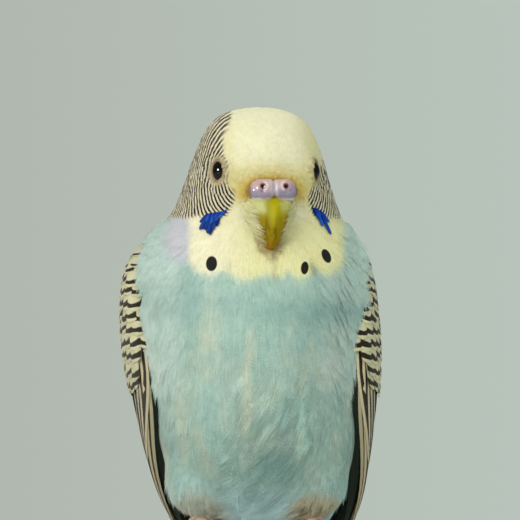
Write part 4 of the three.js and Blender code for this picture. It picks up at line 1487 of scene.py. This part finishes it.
def lesser_coverts(plumes, mould, rng):
    """Rows of small barred feathers over the shoulder, from the lowest row up."""
    for k in reversed(range(LESSER_ROWS)):
        tip_down = 0.024 + LESSER_STEP * k
        root_down = max(0.0, tip_down - 0.085)
        front = lerp(-0.075, 0.05, smooth(7.5, 11, k))
        count = max(3, round(1.1 * mould.chord(tip_down) / 3.1))
        for j in range(count):
            across = lerp(front, 1.0, (j + 0.5 * (k % 2)) / count)
            ragged = 0.022 * rng.random() * (k >= LESSER_ROWS - 2)
            row = [root_down, across * 0.98, tip_down + ragged, across + 0.01,
                   LESSER_HALF_WIDTH, -0.3, 0.5, LESSER_HALF_WIDTH]
            wing_feather(plumes, mould, row, 0.12, rng, rows=9, columns=7)


def wing_lining(mould):
    """The underside that closes the wing towards the body, dark as painted shadow in the gap between
    wing and belly.
    """
    grid = np.meshgrid(np.linspace(0.02, 0.82, 30), np.linspace(-0.13, 0.98, 18), indexing="ij")
    faces = sheet_faces(*grid[0].shape)
    down, across = (shares.ravel() for shares in grid)
    sink = lerp(-1.5, -2.1, np.clip(down / 0.3, 0, 1))
    # In front of the leading edge the dark sheet rises close under the feathers, as painted shadow in
    # the gap next to the belly.
    sink = lerp(-0.7, sink, smooth(-0.02, 0.05, across))
    outer = mould.place(down, across, sink)
    inner = mould.place(down, across, sink - LINING_THICKNESS)
    return np.concatenate([outer, inner]), np.concatenate([faces, faces[:, ::-1] + len(outer)])


WING_CREAM = srgb(216, 208, 172)
WING_TAN = srgb(214, 198, 164)
WING_BLACK = srgb(40, 33, 18)
FLIGHT_DARK = srgb(52, 54, 50)
FLIGHT_EDGE = srgb(206, 196, 146)
LINING_SHADOW_DARK = srgb(34, 46, 38)
BARB_SLANT = 0.9
BARBS_PER_MM = 5.5
CHEEK_BARBS_PER_MM = 4.5
TAIL_BLUE = srgb(38, 62, 120)


def barb_lines(shader, per_mm):
    """Fine ridges that slant out from the shaft: from 0 to 1."""
    aside = shader.positive(shader.number("aside"))
    run = shader.plus(shader.number("from_tip"), shader.times(aside, BARB_SLANT))
    wave = shader.sine(shader.times(run, per_mm * 2 * math.pi))
    return shader.math("MULTIPLY_ADD", wave, 0.5, 0.5)


def barbed(shader, colour, low, high, strength=0.5):
    """A vane's colour, made darker and lighter by its barbs, which are also raised."""
    lines = barb_lines(shader, BARBS_PER_MM)
    shader.bump(lines, 0.05, strength)
    return shader.vary(colour, lines, low, high)


def shaft_line(shader, half=0.13):
    """1 on the shaft of a vane, given half its width in mm."""
    aside = shader.positive(shader.number("aside"))
    return shader.one_minus(shader.step(half * 0.5, half, aside))


def covert_material():
    """Cream with a black bar across, close to the tip."""
    shader = Shader("barred_covert")
    wobble = shader.times(shader.minus(shader.noise(450, 2), 0.5), 0.7)
    along = shader.times(shader.number("from_tip"), 0.6)
    across = shader.times(shader.number("rim"), 0.4)
    place = shader.plus(shader.plus(along, across), wobble)
    bar = shader.times(shader.step(0.8, 0.98, place), shader.step(1.95, 1.7, place))
    cream = shader.vary(WING_CREAM, shader.number("tone"), 0.88, 1.06)
    colour = shader.mix(bar, barbed(shader, cream, 0.94, 1.03, 0.6), WING_BLACK)
    return shader.surface_values(colour=colour, roughness=0.75, specular=0.25, sheen=0.1)


def flight_material(name, dark, edge, edge_from=0.35, edge_to=0.75):
    """Dark vanes with a pale edge and a darker shaft."""
    shader = Shader(name)
    inner = shader.step(edge_from, edge_to, shader.number("rim"))
    dark_tone = shader.vary(dark, shader.number("tone"), 0.8, 1.2)
    edge_tone = shader.vary(edge, shader.number("tone"), 0.85, 1.05)
    colour = barbed(shader, shader.mix(inner, edge_tone, dark_tone), 0.9, 1.08)
    colour = shader.mix(shaft_line(shader), colour, dark * 0.35)
    return shader.surface_values(colour=colour, roughness=0.5, specular=0.4, sheen=0.1)


def make_wing(side_name, side, materials):
    """A folded wing: long flight feathers below, then pale-edged ones and coverts over them."""
    rng = np.random.default_rng(SEED + 10 + side)
    mould = WingMould(f"wing_{side_name}", side)
    flight, pale, coverts = Plumes(), Plumes(), Plumes()
    for plumes, tiers, form in ((flight, FLIGHT_TIERS, {"rows": 22, "arch": 0.06}),
                                (pale, PALE_TIERS, {"rows": 18, "arch": 0.1}),
                                (coverts, COVERT_TIERS, {"rows": 12})):
        for tier in tiers:
            add_tier(plumes, mould, tier, rng, **form)
    lesser_coverts(coverts, mould, rng)
    slot = "barred_feather"
    flight.piece(f"flight_feathers_{side_name}", materials["flight"], slot, [f"wing_{side_name}"])
    pale.piece(f"pale_edged_feathers_{side_name}", materials["pale"], slot)
    coverts.piece(f"wing_coverts_{side_name}", materials["covert"], slot)
    lining = mesh_object(f"wing_lining_{side_name}", *wing_lining(mould))
    finish_piece(lining, materials["lining"])


# Tail

# Share of the tail's length and distance from its middle, for each pair of feathers.
TAIL_FEATHERS = [[1.0, 1.0], [0.81, 2.7], [0.69, 4.0], [0.58, 4.8], [0.48, 5.5], [0.4, 6.1]]
TAIL_HALF_WIDTH = 3.1
# Rows of coverts: above or below the tail, their number, reach of the middle and the outer ones.
TAIL_COVERTS = [[1, 7, 30, 16], [1, 7, 20, 8], [-1, 6, 32, 18], [-1, 6, 22, 8]]
COVERT_START = 6  # mm before the root of the tail


class TailLine:
    """The tail's own line from root to tip, taken from its solid."""

    def __init__(self):
        points = node_points("tail")
        order = np.argsort(points[:, 2])
        self.tip = points[order[:12]].mean(axis=0)
        top = points[points[:, 2] > points[:, 2].max() - 8]
        self.root = (top.min(axis=0) + top.max(axis=0)) / 2
        self.along = unit(self.tip - self.root)
        self.aside = unit(np.array([1.0, 0, 0]) - self.along[0] * self.along)
        self.up = np.cross(self.aside, self.along)
        self.up *= np.sign(self.up[1])
        self.length = (self.tip - self.root) @ self.along

    def place(self, run, across, up):
        run, across, up = np.broadcast_arrays(run, across, up)
        return (self.root + run[..., None] * self.along + across[..., None] * self.aside
                + up[..., None] * self.up)


def make_tail():
    """Pairs of narrow feathers, the middle pair longest, with soft coverts above and below."""
    rng = np.random.default_rng(SEED + 30)
    line = TailLine()
    flight, coverts = Plumes(), Plumes()
    pairs = len(TAIL_FEATHERS)
    for pair in reversed(range(pairs)):
        share, from_middle = TAIL_FEATHERS[pair]
        for side in (-1, 1):
            length = line.length * share
            rise = 0.33 * (pairs - 1 - 2 * pair - (side > 0)) + 1.3

            def place(s, aside, up):
                across = side * from_middle * lerp(0.7, 1, s) + aside
                return line.place(length * s, across, rise * (1 - 0.5 * s) + up - 0.04 * across**2)

            flight.add(place, length, TAIL_HALF_WIDTH, 8.0, rng, rows=26, columns=9, thickness=0.12)
    for over, count, middle_reach, outer_reach in TAIL_COVERTS:
        for k in range(count):
            spread = lerp(-1, 1, (k + 0.5) / count)
            length = lerp(middle_reach, outer_reach, spread**2) + COVERT_START

            def place(s, aside, up):
                across = 5.0 * spread * lerp(0.75, 1, s) + aside
                height = over * ((3.4 if over > 0 else 2.6) + 0.6 * s - 0.05 * across**2 + up)
                return line.place(length * s - COVERT_START, across, height)

            coverts.add(place, length, 3.2, 3.6, rng, rows=14, columns=9)
    flight.piece("tail_feathers", tail_material(), "tail_feather", ["tail"])
    coverts.piece("tail_coverts", soft_blue_material(), "blue_feather")


def tail_material():
    """Deep blue, darker along the edges, the shaft and towards the tip."""
    shader = Shader("tail_vane")
    edge = shader.one_minus(shader.step(0.1, 0.5, shader.number("rim")))
    blue = shader.vary(TAIL_BLUE, shader.number("tone"), 0.7, 1.25)
    tip = shader.one_minus(shader.step(4, 16, shader.number("from_tip")))
    blue = shader.mix(shader.times(tip, 0.6), blue, TAIL_BLUE * 0.45)
    blue = shader.mix(shader.times(edge, 0.4), blue, TAIL_BLUE * 0.5)
    colour = barbed(shader, blue, 0.88, 1.1)
    colour = shader.mix(shaft_line(shader, 0.2), colour, TAIL_BLUE * 0.3)
    return shader.surface_values(colour=colour, roughness=0.45, specular=0.4, sheen=0.1)


def soft_blue_material():
    """Pale blue down, paler at its edges."""
    shader = Shader("soft_blue_vane")
    pale = shader.one_minus(shader.step(0.0, 1.1, shader.number("rim")))
    blue = shader.vary(VENT_BLUE, shader.number("tone"), 0.85, 1.1)
    colour = barbed(shader, shader.mix(shader.times(pale, 0.5), blue, PALE_BLUE), 0.92, 1.06)
    return shader.surface_values(colour=colour, roughness=0.8, specular=0.25, sheen=0.2)


# Eyes, lids, cere and bill

# Section of a lid: height over the ball, and angle past the edge of the opening.
LID_PROFILE = [[-0.2, 0.02], [0.05, -0.02], [0.22, 0], [0.36, 0.05], [0.42, 0.12], [0.4, 0.2],
               [0.36, 0.28], [0.3, 0.36], [0.1, 0.44], [-0.3, 0.44], [-0.2, 0.02]]
LID_SIDES = 126
LID_FOLDS = 21
EYE_BROWN = srgb(27, 18, 12)
PUPIL_BLACK = srgb(6, 5, 5)
LID_TAN = srgb(150, 126, 96)


def round_eye(side_name, radii, angles, sides, wrinkle=0.0):
    """Points round the line of an eye: rows of distance from its middle and angle from its line."""
    axis = EYE_AXES[side_name]
    across = unit(np.cross(axis, UP))
    high = np.cross(across, axis)
    turns = np.linspace(0, 2 * math.pi, sides, endpoint=False)
    ring = np.cos(turns)[:, None] * across + np.sin(turns)[:, None] * high
    rows = []
    for radius, angle in zip(radii, angles):
        depth = wrinkle * math.sin(math.pi * min(1, max(0, (angle - 0.66) / 0.3)))
        reach = radius * (1 + np.sin(LID_FOLDS * turns) * depth)[:, None]
        rows.append(EYES[side_name] + reach * (math.cos(angle) * axis + math.sin(angle) * ring))
    return np.concatenate(rows)


def make_eye(side_name):
    rings, sides = 48, 72
    angles = np.linspace(0, math.pi, rings)
    radii = EYE_RADIUS + 0.2 * bell(angles, 0.5)
    points, faces = weld(round_eye(side_name, radii, angles, sides), tube_faces(rings, sides))
    turned = unit(points - EYES[side_name]) @ EYE_AXES[side_name]
    from_axis = np.degrees(np.arccos(np.clip(turned, -1, 1)))
    ball = mesh_object(f"eyeball_{side_name}", points, faces, values={"from_axis": from_axis})
    finish_piece(ball, eye_material(side_name), [f"eye_{side_name}"])


def eye_material(side_name):
    """A near-black eye with a very dark brown iris."""
    shader = Shader(f"eye_{side_name}")
    brown = shader.vary(EYE_BROWN, shader.noise(2600, 3), 0.7, 1.3)
    colour = shader.mix(shader.step(24, 31, shader.number("from_axis")), PUPIL_BLACK, brown)
    return shader.surface_values(colour=colour, roughness=0.25, specular=0.0, coat=0.5,
                                 coat_roughness=0.03)


def make_lids(side_name):
    """A thin folded ring of skin round the eye."""
    opening = math.asin(EYE_OPENING / EYE_RADIUS)
    heights, angles = np.array(LID_PROFILE).T
    ring = round_eye(side_name, EYE_RADIUS + heights, opening + angles, LID_SIDES, 0.012)
    points, faces = weld(ring, tube_faces(len(LID_PROFILE), LID_SIDES))
    lid = mesh_object(f"eyelid_{side_name}", points, faces)
    material = grained_material(f"eyelid_{side_name}", LID_TAN, (1800, 3), 0.7, 1.2,
                                (3000, 3, 0.08, 0.7), roughness=0.65, specular=0.3)
    finish_piece(lid, material)


NOSTRIL_ASIDE = 2.6
NOSTRIL_RISE = 1.1
CERE_VIOLET = srgb(148, 136, 162)
CERE_PINK = srgb(206, 168, 168)
CERE_WHITE = srgb(226, 214, 218)
CERE_EDGE = srgb(112, 74, 60)
NOSTRIL_RED = srgb(150, 64, 48)
NOSTRIL_DARK = srgb(26, 12, 9)


def make_cere():
    """The bare skin over the bill, with a ring and a pit for each nostril."""
    points, faces, normals = fine_shape(["cere"], 0.17, 0.12, 5)
    head = in_head(points)
    cere = in_head(CERE_MIDDLE)
    up = head[:, 2] - cere[2]
    aside = np.abs(head[:, 0] - cere[0])
    hole = np.hypot(aside - NOSTRIL_ASIDE, up - NOSTRIL_RISE)
    front = smooth(0.2, 1.5, cere[1] - head[:, 1] + 0.5)
    rim = bell(hole - 0.95, 0.3) * front
    points = push(points, normals, 0.16 * rim)
    points = push(points, -HEAD_BACK, bell(aside, 1.7) * smooth(3.0, 1.2, up) * front)
    points = push(points, UP, 0.9 * bell(aside, 1.1) * smooth(-0.5, 1.5, up))
    mottle = ripple(points, 1.1, 6) + 0.7 * ripple(points, 0.6, 13)
    cleft = bell(aside, 0.5 + 0.5 * smooth(-2, 2, up))
    opening = hole + 0.15 * smooth(0, 0.5, up - NOSTRIL_RISE)
    tint = layered(
        np.broadcast_to(CERE_VIOLET, points.shape),
        (CERE_PINK, 0.9 * smooth(-0.9, 1.9, up + 0.9 * mottle)),
        (CERE_WHITE, 0.6 * cleft),
        (CERE_WHITE, 0.85 * smooth(1.25, 1.9, 0.25 * mottle - up)),
        (CERE_WHITE, 0.9 * rim * smooth(-0.3, 0.6, (NOSTRIL_ASIDE - aside) / hole)),
        (CERE_EDGE, 0.7 * smooth(4.6, 5.3, aside)),
        (NOSTRIL_RED, front * (1 - smooth(0.5, 0.8, hole))),
        (NOSTRIL_DARK, front * (1 - smooth(0.36, 0.62, opening))))
    made = mesh_object("cere_skin", points, faces, values={"tint": tint})
    material = grained_material("cere", None, (1600, 3), 0.9, 1.08, (2600, 3, 0.07, 0.7), roughness=0.4,
                                specular=0.35, coat=0.35, coat_roughness=0.12)
    finish_piece(made, material, ["cere"])


HORN_GREEN = srgb(168, 158, 44)
HORN_PALE = srgb(204, 204, 146)
HORN_YELLOW = srgb(180, 168, 0)
HORN_OLIVE = srgb(152, 126, 0)
HORN_BROWN = srgb(150, 96, 4)
HORN_GRAIN = srgb(88, 64, 8)
LOWER_HORN = srgb(150, 132, 60)


def make_bill():
    """The upper bill, ridged down its middle and flaked, and the lower one behind it."""
    points, faces, normals = fine_shape(["beak_upper"], 0.22, 0.15, 6)
    head = in_head(points)
    aside, height = np.abs(head[:, 0]), head[:, 2]
    front = smooth(0.2, 0.8, normals @ -HEAD_BACK)
    crest = bell(head[:, 0] - 0.6 * smooth(-15, -8, height), 0.85)
    ridge = crest * front * smooth(-6.8, -8.4, height)
    points = push(points, normals, 0.42 * ridge)
    points = push(points, HEAD_BACK, 1.2 * smooth(-7.2, -5.6, height))
    flakes = ripple(points * [1, 1, 0.35], 0.9, 4)
    points = push(points, normals, 0.05 * flakes)
    grain = ripple(points * [1, 1, 0.2], 0.45, 14)
    pale = smooth(1.2, 2.6, aside + 0.5 * flakes) * smooth(-10.4, -8.4, height + 0.5 * flakes)
    tint = layered(
        np.broadcast_to(HORN_GREEN, points.shape),
        (HORN_PALE, lerp(0.8, 0.5, smooth(-1, 1, head[:, 0])) * pale),
        (HORN_YELLOW, 0.9 * crest * smooth(-14, -9, height)),
        (HORN_OLIVE, 0.85 * smooth(-9.5, -13, height + 0.6 * flakes - 0.5 * aside)),
        (HORN_BROWN, 0.8 * smooth(-14, -17.5, height)),
        (HORN_GRAIN, 0.5 * smooth(0.1, 0.7, grain) * smooth(-8.5, -12, height)))
    upper = mesh_object("bill_upper", points, faces, values={"tint": tint})
    material = bill_material()
    finish_piece(upper, material, ["beak_upper"])
    points, faces, _ = fine_shape(["beak_lower"], 0.25, 0.1, 4)
    lower_tint = np.broadcast_to(LOWER_HORN, points.shape)
    lower = mesh_object("bill_lower", points, faces, values={"tint": lower_tint})
    finish_piece(lower, material, ["beak_lower"])


def bill_material():
    """Horn in thin layers, drawn out along the bill."""
    shader = Shader("bill")
    layers = shader.noise(700, 3, stretch=(1, 1, 0.25))
    tone = shader.vary(shader.colour("tint"), layers, 0.88, 1.1)
    shader.bump(layers, 0.08, 0.5)
    return shader.surface_values(colour=tone, roughness=0.5, specular=0.08)


# Bristles over the bill, and the blue patches of the cheeks

# Half width of the bill, and of what the bristles leave bare, at heights over the eyes.
BILL_HALF_WIDTH = [[-18.5, 0.3], [-17, 1.5], [-15, 2.7], [-12.5, 3.8], [-10, 4.6], [-7.5, 4.9],
                   [-6, 4.8]]
BARE_HALF_WIDTH = [[-18.7, 0.1], [-17.6, 0.9], [-16, 1.6], [-14, 2.0], [-12, 2.6], [-10, 3.3],
                   [-7.7, 4.2]]
BRISTLES = 330  # on each side of the bill
BRISTLE_STEPS = 7  # points along each
BRISTLE_SHARES = np.linspace(0, 1, BRISTLE_STEPS)


def from_front(trees, aside, height):
    """How far back the nearest of some shapes lies, looking at the face from the front."""
    start = from_head([aside, -40.0, height])
    hits = [tree.ray_cast(Vector(start), Vector(HEAD_BACK), 60)[3] for tree in trees]
    hits = [hit for hit in hits if hit is not None]
    return min(hits) - 40 if hits else None


def bristle_faces():
    """Triangles of a thin strip with two rows of points, seen from above."""
    steps = BRISTLE_STEPS
    first = [[i, i + 1, i + steps + 1] for i in range(steps - 1)]
    second = [[i, i + steps + 1, i + steps] for i in range(steps - 1)]
    return np.array(first + second)


def bristle_line(rng, side, trees):
    """The height over the eyes at which a bristle starts, and the points along it."""
    shares = BRISTLE_SHARES
    high = -6.8 - 11.0 * rng.random() ** 0.85
    half_width = read_off(BILL_HALF_WIDTH, high)
    start = half_width + rng.uniform(0.1, 1.3)
    end = read_off(BARE_HALF_WIDTH, high - 1.5) + rng.normal(0.35, 0.45)
    end = min(end, half_width + 0.2)
    aside = side * np.maximum(lerp(start, max(end, 0.15), shares**1.2), 0.15)
    height = high - (start - end) * rng.uniform(0.5, 1.0) * shares**0.85
    back = np.array([from_front(trees, a, h) for a, h in zip(aside, height)])
    run = np.abs(shares[:, None] - shares) * (start - end + 1)
    back = (back - rng.uniform(0.25, 0.75) + 1.6 * run).min(axis=1)
    return high, from_head(np.stack([aside, back, height], axis=1))


def make_bristles(skin):
    """Thin feathers that hang from both sides over the bill."""
    rng = np.random.default_rng(SEED + 40)
    trees = [tree_of("beak_upper"), skin.tree]
    points, faces, tints = [], [], []
    strip = bristle_faces()
    for k in range(2 * BRISTLES):
        high, line = bristle_line(rng, 1 if k % 2 else -1, trees)
        thick = rng.uniform(0.08, 0.16) * (1 - 0.92 * BRISTLE_SHARES)
        across = unit(np.cross(np.gradient(line, axis=0), HEAD_BACK)) * thick[:, None]
        first = 4 * BRISTLE_STEPS * k
        for depth in (-0.04, 0.04):
            points.append(np.concatenate([line - across, line + across]) + depth * HEAD_BACK)
        faces += [strip + first, strip[:, ::-1] + first + 2 * BRISTLE_STEPS]
        # Lower bristles turn brown towards their ends: partly a stain and partly painted shade beside
        # the bill.
        brown = 0.25 * (rng.random() < 0.3) + 0.75 * smooth(-10.5, -15.5, high + rng.normal(0, 1.4))
        colour = np.tile(MASK_CREAM, (BRISTLE_STEPS, 1))
        colour = blend(colour, STAIN_AND_SHADE_BROWN, np.minimum(brown, 0.8) * BRISTLE_SHARES**1.2)
        tints.append(np.tile(colour * rng.uniform(0.8, 1.06), (4, 1)))
    made = mesh_object("bill_bristles", np.concatenate(points), np.concatenate(faces),
                       values={"tint": np.concatenate(tints)})
    material = grained_material("bristle", None, (1200, 2), 0.92, 1.05, roughness=0.8, specular=0.2)
    finish_piece(made, material)


# Blue feathers of the cheeks, as seen from the front. Each row: root across and up, tip across
# and up, half width.
CHEEK_FEATHERS = [
    [-5.9, 71.7, -7.0, 70.6, 0.34], [-6.2, 71.6, -7.7, 69.7, 0.36], [-6.7, 71.4, -8.2, 69.0, 0.38],
    [-7.3, 71.3, -8.0, 67.9, 0.42], [-7.2, 71.2, -8.7, 68.4, 0.38], [-7.9, 71.1, -8.7, 67.1, 0.42],
    [-8.4, 71.0, -9.4, 65.9, 0.5], [-8.9, 71.0, -9.9, 66.2, 0.46], [-9.2, 70.9, -10.4, 66.9, 0.42],
    [-9.5, 70.8, -11.0, 67.2, 0.46], [-9.8, 70.7, -11.6, 67.0, 0.46], [-10.1, 70.6, -11.5, 68.6, 0.36],
    [-8.6, 71.0, -9.2, 68.3, 0.46], [-7.7, 71.2, -8.3, 69.4, 0.42], [-9.4, 70.9, -10.2, 68.8, 0.42],
    [12.6, 72.4, 13.2, 70.4, 0.34], [13.0, 72.3, 13.9, 69.4, 0.4], [13.6, 72.0, 14.6, 68.0, 0.44],
    [14.3, 71.6, 15.6, 67.6, 0.44], [14.2, 71.8, 16.2, 66.0, 0.46], [14.7, 71.2, 16.0, 68.9, 0.36],
    [13.4, 72.2, 14.3, 70.2, 0.38]]


def make_cheek_patches(skin):
    rng = np.random.default_rng(SEED + 50)
    patches = Plumes()
    shares = np.linspace(0, 1, 6)
    for x0, z0, x1, z1, half_width in CHEEK_FEATHERS:
        starts = [Vector((lerp(x0, x1, t), -60.0, lerp(z0, z1, t))) for t in shares]
        hits = [skin.tree.ray_cast(start, Vector((0, 1, 0)), 100) for start in starts]
        line, outward = np.array([hit[0] for hit in hits]), np.array([hit[1] for hit in hits])
        outward = unit(outward + outward.mean(axis=0))
        line = push(line, outward, coat_depth(line) + rng.uniform(0.15, 0.35) * (0.3 + shares))
        sideways = unit(np.cross(np.gradient(line, axis=0), outward))
        length = np.linalg.norm(line[-1] - line[0])

        def place(s, aside, up):
            at = [np.stack([np.interp(s, shares, rows[:, k]) for k in range(3)], axis=-1)
                  for rows in (line, sideways, outward)]
            return at[0] + at[1] * aside[:, None] + at[2] * up[:, None]

        patches.add(place, length, half_width, 2.2 * half_width, rng, rows=12, columns=7, arch=0.15)
    patches.piece("cheek_patches", cheek_material(), "blue_feather")


def cheek_material():
    """Deep blue vanes with a painted highlight along their middle, and darker at their edges."""
    shader = Shader("cheek_blue")
    blue = shader.vary(CHEEK_BLUE, shader.number("tone"), 0.35, 1.6)
    lines = barb_lines(shader, CHEEK_BARBS_PER_MM)
    blue = shader.vary(blue, lines, 0.75, 1.2)
    blue = shader.mix(shader.step(0.16, 0.02, shader.number("rim")), blue, CHEEK_EDGE)
    # Painted highlight: a paler blue down the middle of each vane.
    highlight_share = shader.times(shader.step(0.25, 0.6, shader.number("shade")), 0.35)
    blue = shader.mix(shader.times(highlight_share, shader.number("tone")), blue, CHEEK_HIGHLIGHT)
    shader.bump(lines, 0.06, 0.7)
    return shader.surface_values(colour=blue, roughness=0.6, specular=0.12)


# Feet and claws

TOE_PINK = srgb(216, 176, 150)
TOE_SHADE = srgb(168, 128, 112)
CLAW_BROWN = srgb(96, 80, 72)
SCUTE_LENGTH = 0.95


def make_foot(side_name):
    """Toes round the perch, with raised scutes across their tops."""
    name = f"foot_{side_name}"
    points, faces, normals = fine_shape([name], 0.24, 0.16, 4)
    bearing = np.arctan2(-points[:, 1], points[:, 2] + PERCH_RADIUS)
    out = np.hypot(points[:, 1], points[:, 2] + PERCH_RADIUS) - PERCH_RADIUS
    wave = np.sin(bearing * (PERCH_RADIUS + 1.3) * 2 * math.pi / SCUTE_LENGTH)
    on_top = smooth(1.2, 2.2, out)
    scute = on_top * (0.1 * np.sign(wave) * np.abs(wave) ** 0.4)
    points = push(points, normals, scute)
    tint = layered(np.broadcast_to(TOE_PINK, points.shape),
                   (TOE_SHADE, 0.6 * on_top * smooth(0.3, -0.6, wave)))
    made = mesh_object(f"toes_{side_name}", points, faces, values={"tint": tint})
    material = grained_material(f"toe_skin_{side_name}", None, (1500, 3), 0.85, 1.1,
                                (2200, 4, 0.12, 0.7), roughness=0.55, specular=0.35)
    finish_piece(made, material, [name])


def make_claws():
    material = grained_material("claw", CLAW_BROWN, (900, 3, (1, 1, 0.4)), 0.7, 1.25,
                                (1500, 2, 0.04, 0.4), roughness=0.35, coat=0.2, coat_roughness=0.2)
    for side_name in ("right", "left"):
        for k in range(1, 5):
            name = f"claw_{side_name}_{k}"
            points, faces, _ = fine_shape([name], 0.14, 0.08, 3)
            made = mesh_object(f"talon_{side_name}_{k}", points, faces)
            finish_piece(made, material, [name])


# Perch and stand

def lathe(profile, sides, centre, axis, start):
    """A closed round piece from rows of radius and distance along its axis."""
    across = unit(start)
    other = np.cross(axis, across)
    turns = np.linspace(0, 2 * math.pi, sides, endpoint=False)
    ring = np.cos(turns)[:, None] * across + np.sin(turns)[:, None] * other
    points = [centre + r * ring + along * axis for r, along in profile]
    ends = [centre + profile[0][1] * axis, centre + profile[-1][1] * axis]
    points = np.concatenate([*points, ends])
    faces = []
    rows = len(profile)
    for k in range(sides):
        j = (k + 1) % sides
        faces.append([rows * sides, j, k])
        faces.append([rows * sides + 1, (rows - 1) * sides + k, (rows - 1) * sides + j])
        for r in range(rows - 1):
            a = r * sides
            faces += [[a + k, a + j, a + sides + j], [a + k, a + sides + j, a + sides + k]]
    return points, np.array(faces)


def rounded(radius, low, high, bevel, steps=5):
    """The profile of a rod with rounded ends, with rings along it."""
    turn = np.linspace(0, math.pi / 2, steps)
    first = [[radius - bevel + bevel * math.sin(t), low + bevel - bevel * math.cos(t)] for t in turn]
    last = [[radius - bevel + bevel * math.cos(t), high - bevel + bevel * math.sin(t)] for t in turn]
    rings = [[radius, at] for at in np.linspace(low + bevel, high - bevel, 60)[1:-1]]
    return first + rings + last


PITH = np.array([0, 4.0, -8.0])  # middle of the tree's rings, from the middle of the perch
RING_STEP = 0.85
RING_WOBBLE = 7.0
PERCH_PALE = srgb(190, 152, 106)
PERCH_DARK = srgb(132, 92, 56)
STAND_PALE = srgb(104, 66, 38)
STAND_DARK = srgb(58, 34, 20)
BRASS = srgb(206, 176, 112)
X_AXIS = np.array([1.0, 0, 0])


def ring_turn(shader, broad):
    """Yearly rings round the pith, a little uneven."""
    aside, above = shader.number("pith_aside"), shader.number("pith_above")
    square = shader.plus(shader.times(aside, aside), shader.times(above, above))
    turn = shader.times(shader.math("SQRT", square), 2 * math.pi / RING_STEP)
    return shader.plus(turn, shader.times(broad, RING_WOBBLE))


def wood_material(name, pale, dark, stretch, roughness, gloss=0.0, ringed=False):
    """Wood with dark lines along its grain, or in rings for a piece that is a whole branch."""
    shader = Shader(name)
    broad = shader.noise(260, 4, stretch=stretch)
    fine = shader.noise(1600, 3, stretch=stretch)
    turn = ring_turn(shader, broad) if ringed else shader.times(broad, 38.0)
    lines = shader.step(-0.4, 1.0, shader.sine(turn))
    colour = shader.mix(shader.times(lines, 0.7), pale, dark)
    colour = shader.vary(colour, fine, 0.82, 1.12)
    shader.bump(fine, 0.12, 0.5)
    return shader.surface_values(colour=colour, roughness=roughness, coat=gloss, coat_roughness=0.25)


def make_perch():
    low, high = box_of("perch")
    half = (high[0] - low[0]) / 2
    middle_place = (low + high) / 2
    points, faces = lathe(rounded(PERCH_RADIUS, -half, half, 0.9), 72, middle_place, X_AXIS, UP)
    off = points - middle_place
    round_ = unit(off * [0, 1, 1])
    away = np.abs(off[:, 0]) < half - 1.2
    grain = ripple(np.stack([off[:, 0] * 0.06, off[:, 1] * 1.3, off[:, 2] * 1.3], axis=1), 1.0)
    points = push(points, -round_, 0.1 * away * (0.5 + 0.5 * grain))
    from_pith = points - middle_place - PITH
    made = mesh_object("perch_dowel", points, faces,
                       values={"pith_aside": from_pith[:, 1], "pith_above": from_pith[:, 2]})
    wood = wood_material("perch_wood", PERCH_PALE, PERCH_DARK, (0.06, 1, 1), 0.62, ringed=True)
    finish_piece(made, wood, ["perch"])


def make_stand_rod():
    low, high = box_of("stand_rod")
    radius = (high[0] - low[0]) / 2
    length = high[2] - low[2]
    top = PERCH_RADIUS - math.sqrt(PERCH_RADIUS**2 - radius**2)
    foot = underside("stand_rod")
    points, faces = lathe(rounded(radius, 0, length - top, 0.15), 64, foot, UP, X_AXIS)
    rod = mesh_object("stand_rod_brass", points, faces)
    shader = Shader("brass")
    streaks = shader.noise(900, 3, stretch=(1, 1, 0.03))
    tone = shader.vary(BRASS, streaks, 0.85, 1.08)
    shader.bump(streaks, 0.02, 0.3)
    brass = shader.surface_values(colour=tone, metallic=1.0, roughness=0.28)
    finish_piece(rod, brass, ["stand_rod"])


def make_stand_base():
    low, high = box_of("stand_base")
    radius, height = (high[0] - low[0]) / 2, high[2] - low[2]
    turn = np.linspace(0, math.pi / 2, 9)
    profile = [[radius - 2, 0], [radius - 0.8, 0], [radius - 0.2, 0.25], [radius, 0.8]]
    profile += [[radius, at] for at in np.linspace(1.4, height - 3.6, 4)]
    profile += [[radius - 0.8, height - 3.2], [radius - 1.1, height - 2.9]]
    profile += [[radius - 1.3 - 3.4 * (1 - math.cos(t)), height - 2.9 + 2.9 * math.sin(t)] for t in turn]
    profile += [[radius * k / 8, height] for k in (6, 4, 2)]
    points, faces = lathe(profile, 128, underside("stand_base"), UP, X_AXIS)
    base = mesh_object("stand_base_wood", points, faces)
    wood = wood_material("stand_wood", STAND_PALE, STAND_DARK, (1, 0.07, 1), 0.42, gloss=0.4)
    finish_piece(base, wood, ["stand_base"])


# The whole scene

bpy.context.scene.view_settings.view_transform = "Standard"
make_camera()
make_world()
make_floor()
make_lights()
skin = Skin()
make_skin(skin)
make_coat(skin)
wing_materials = {
    "flight": flight_material("flight_vane", FLIGHT_DARK, FLIGHT_EDGE),
    "pale": flight_material("pale_edged_vane", WING_BLACK, WING_TAN, 0.5, 0.72),
    "covert": covert_material(),
    "lining": plain_material("wing_lining", LINING_SHADOW_DARK, 0.9),
}
make_wing("right", -1, wing_materials)
make_wing("left", 1, wing_materials)
make_tail()
for side_name in ("right", "left"):
    make_eye(side_name)
    make_lids(side_name)
make_cere()
make_bill()
make_bristles(skin)
make_cheek_patches(skin)
for side_name in ("right", "left"):
    make_foot(side_name)
make_claws()
make_perch()
make_stand_rod()
make_stand_base()
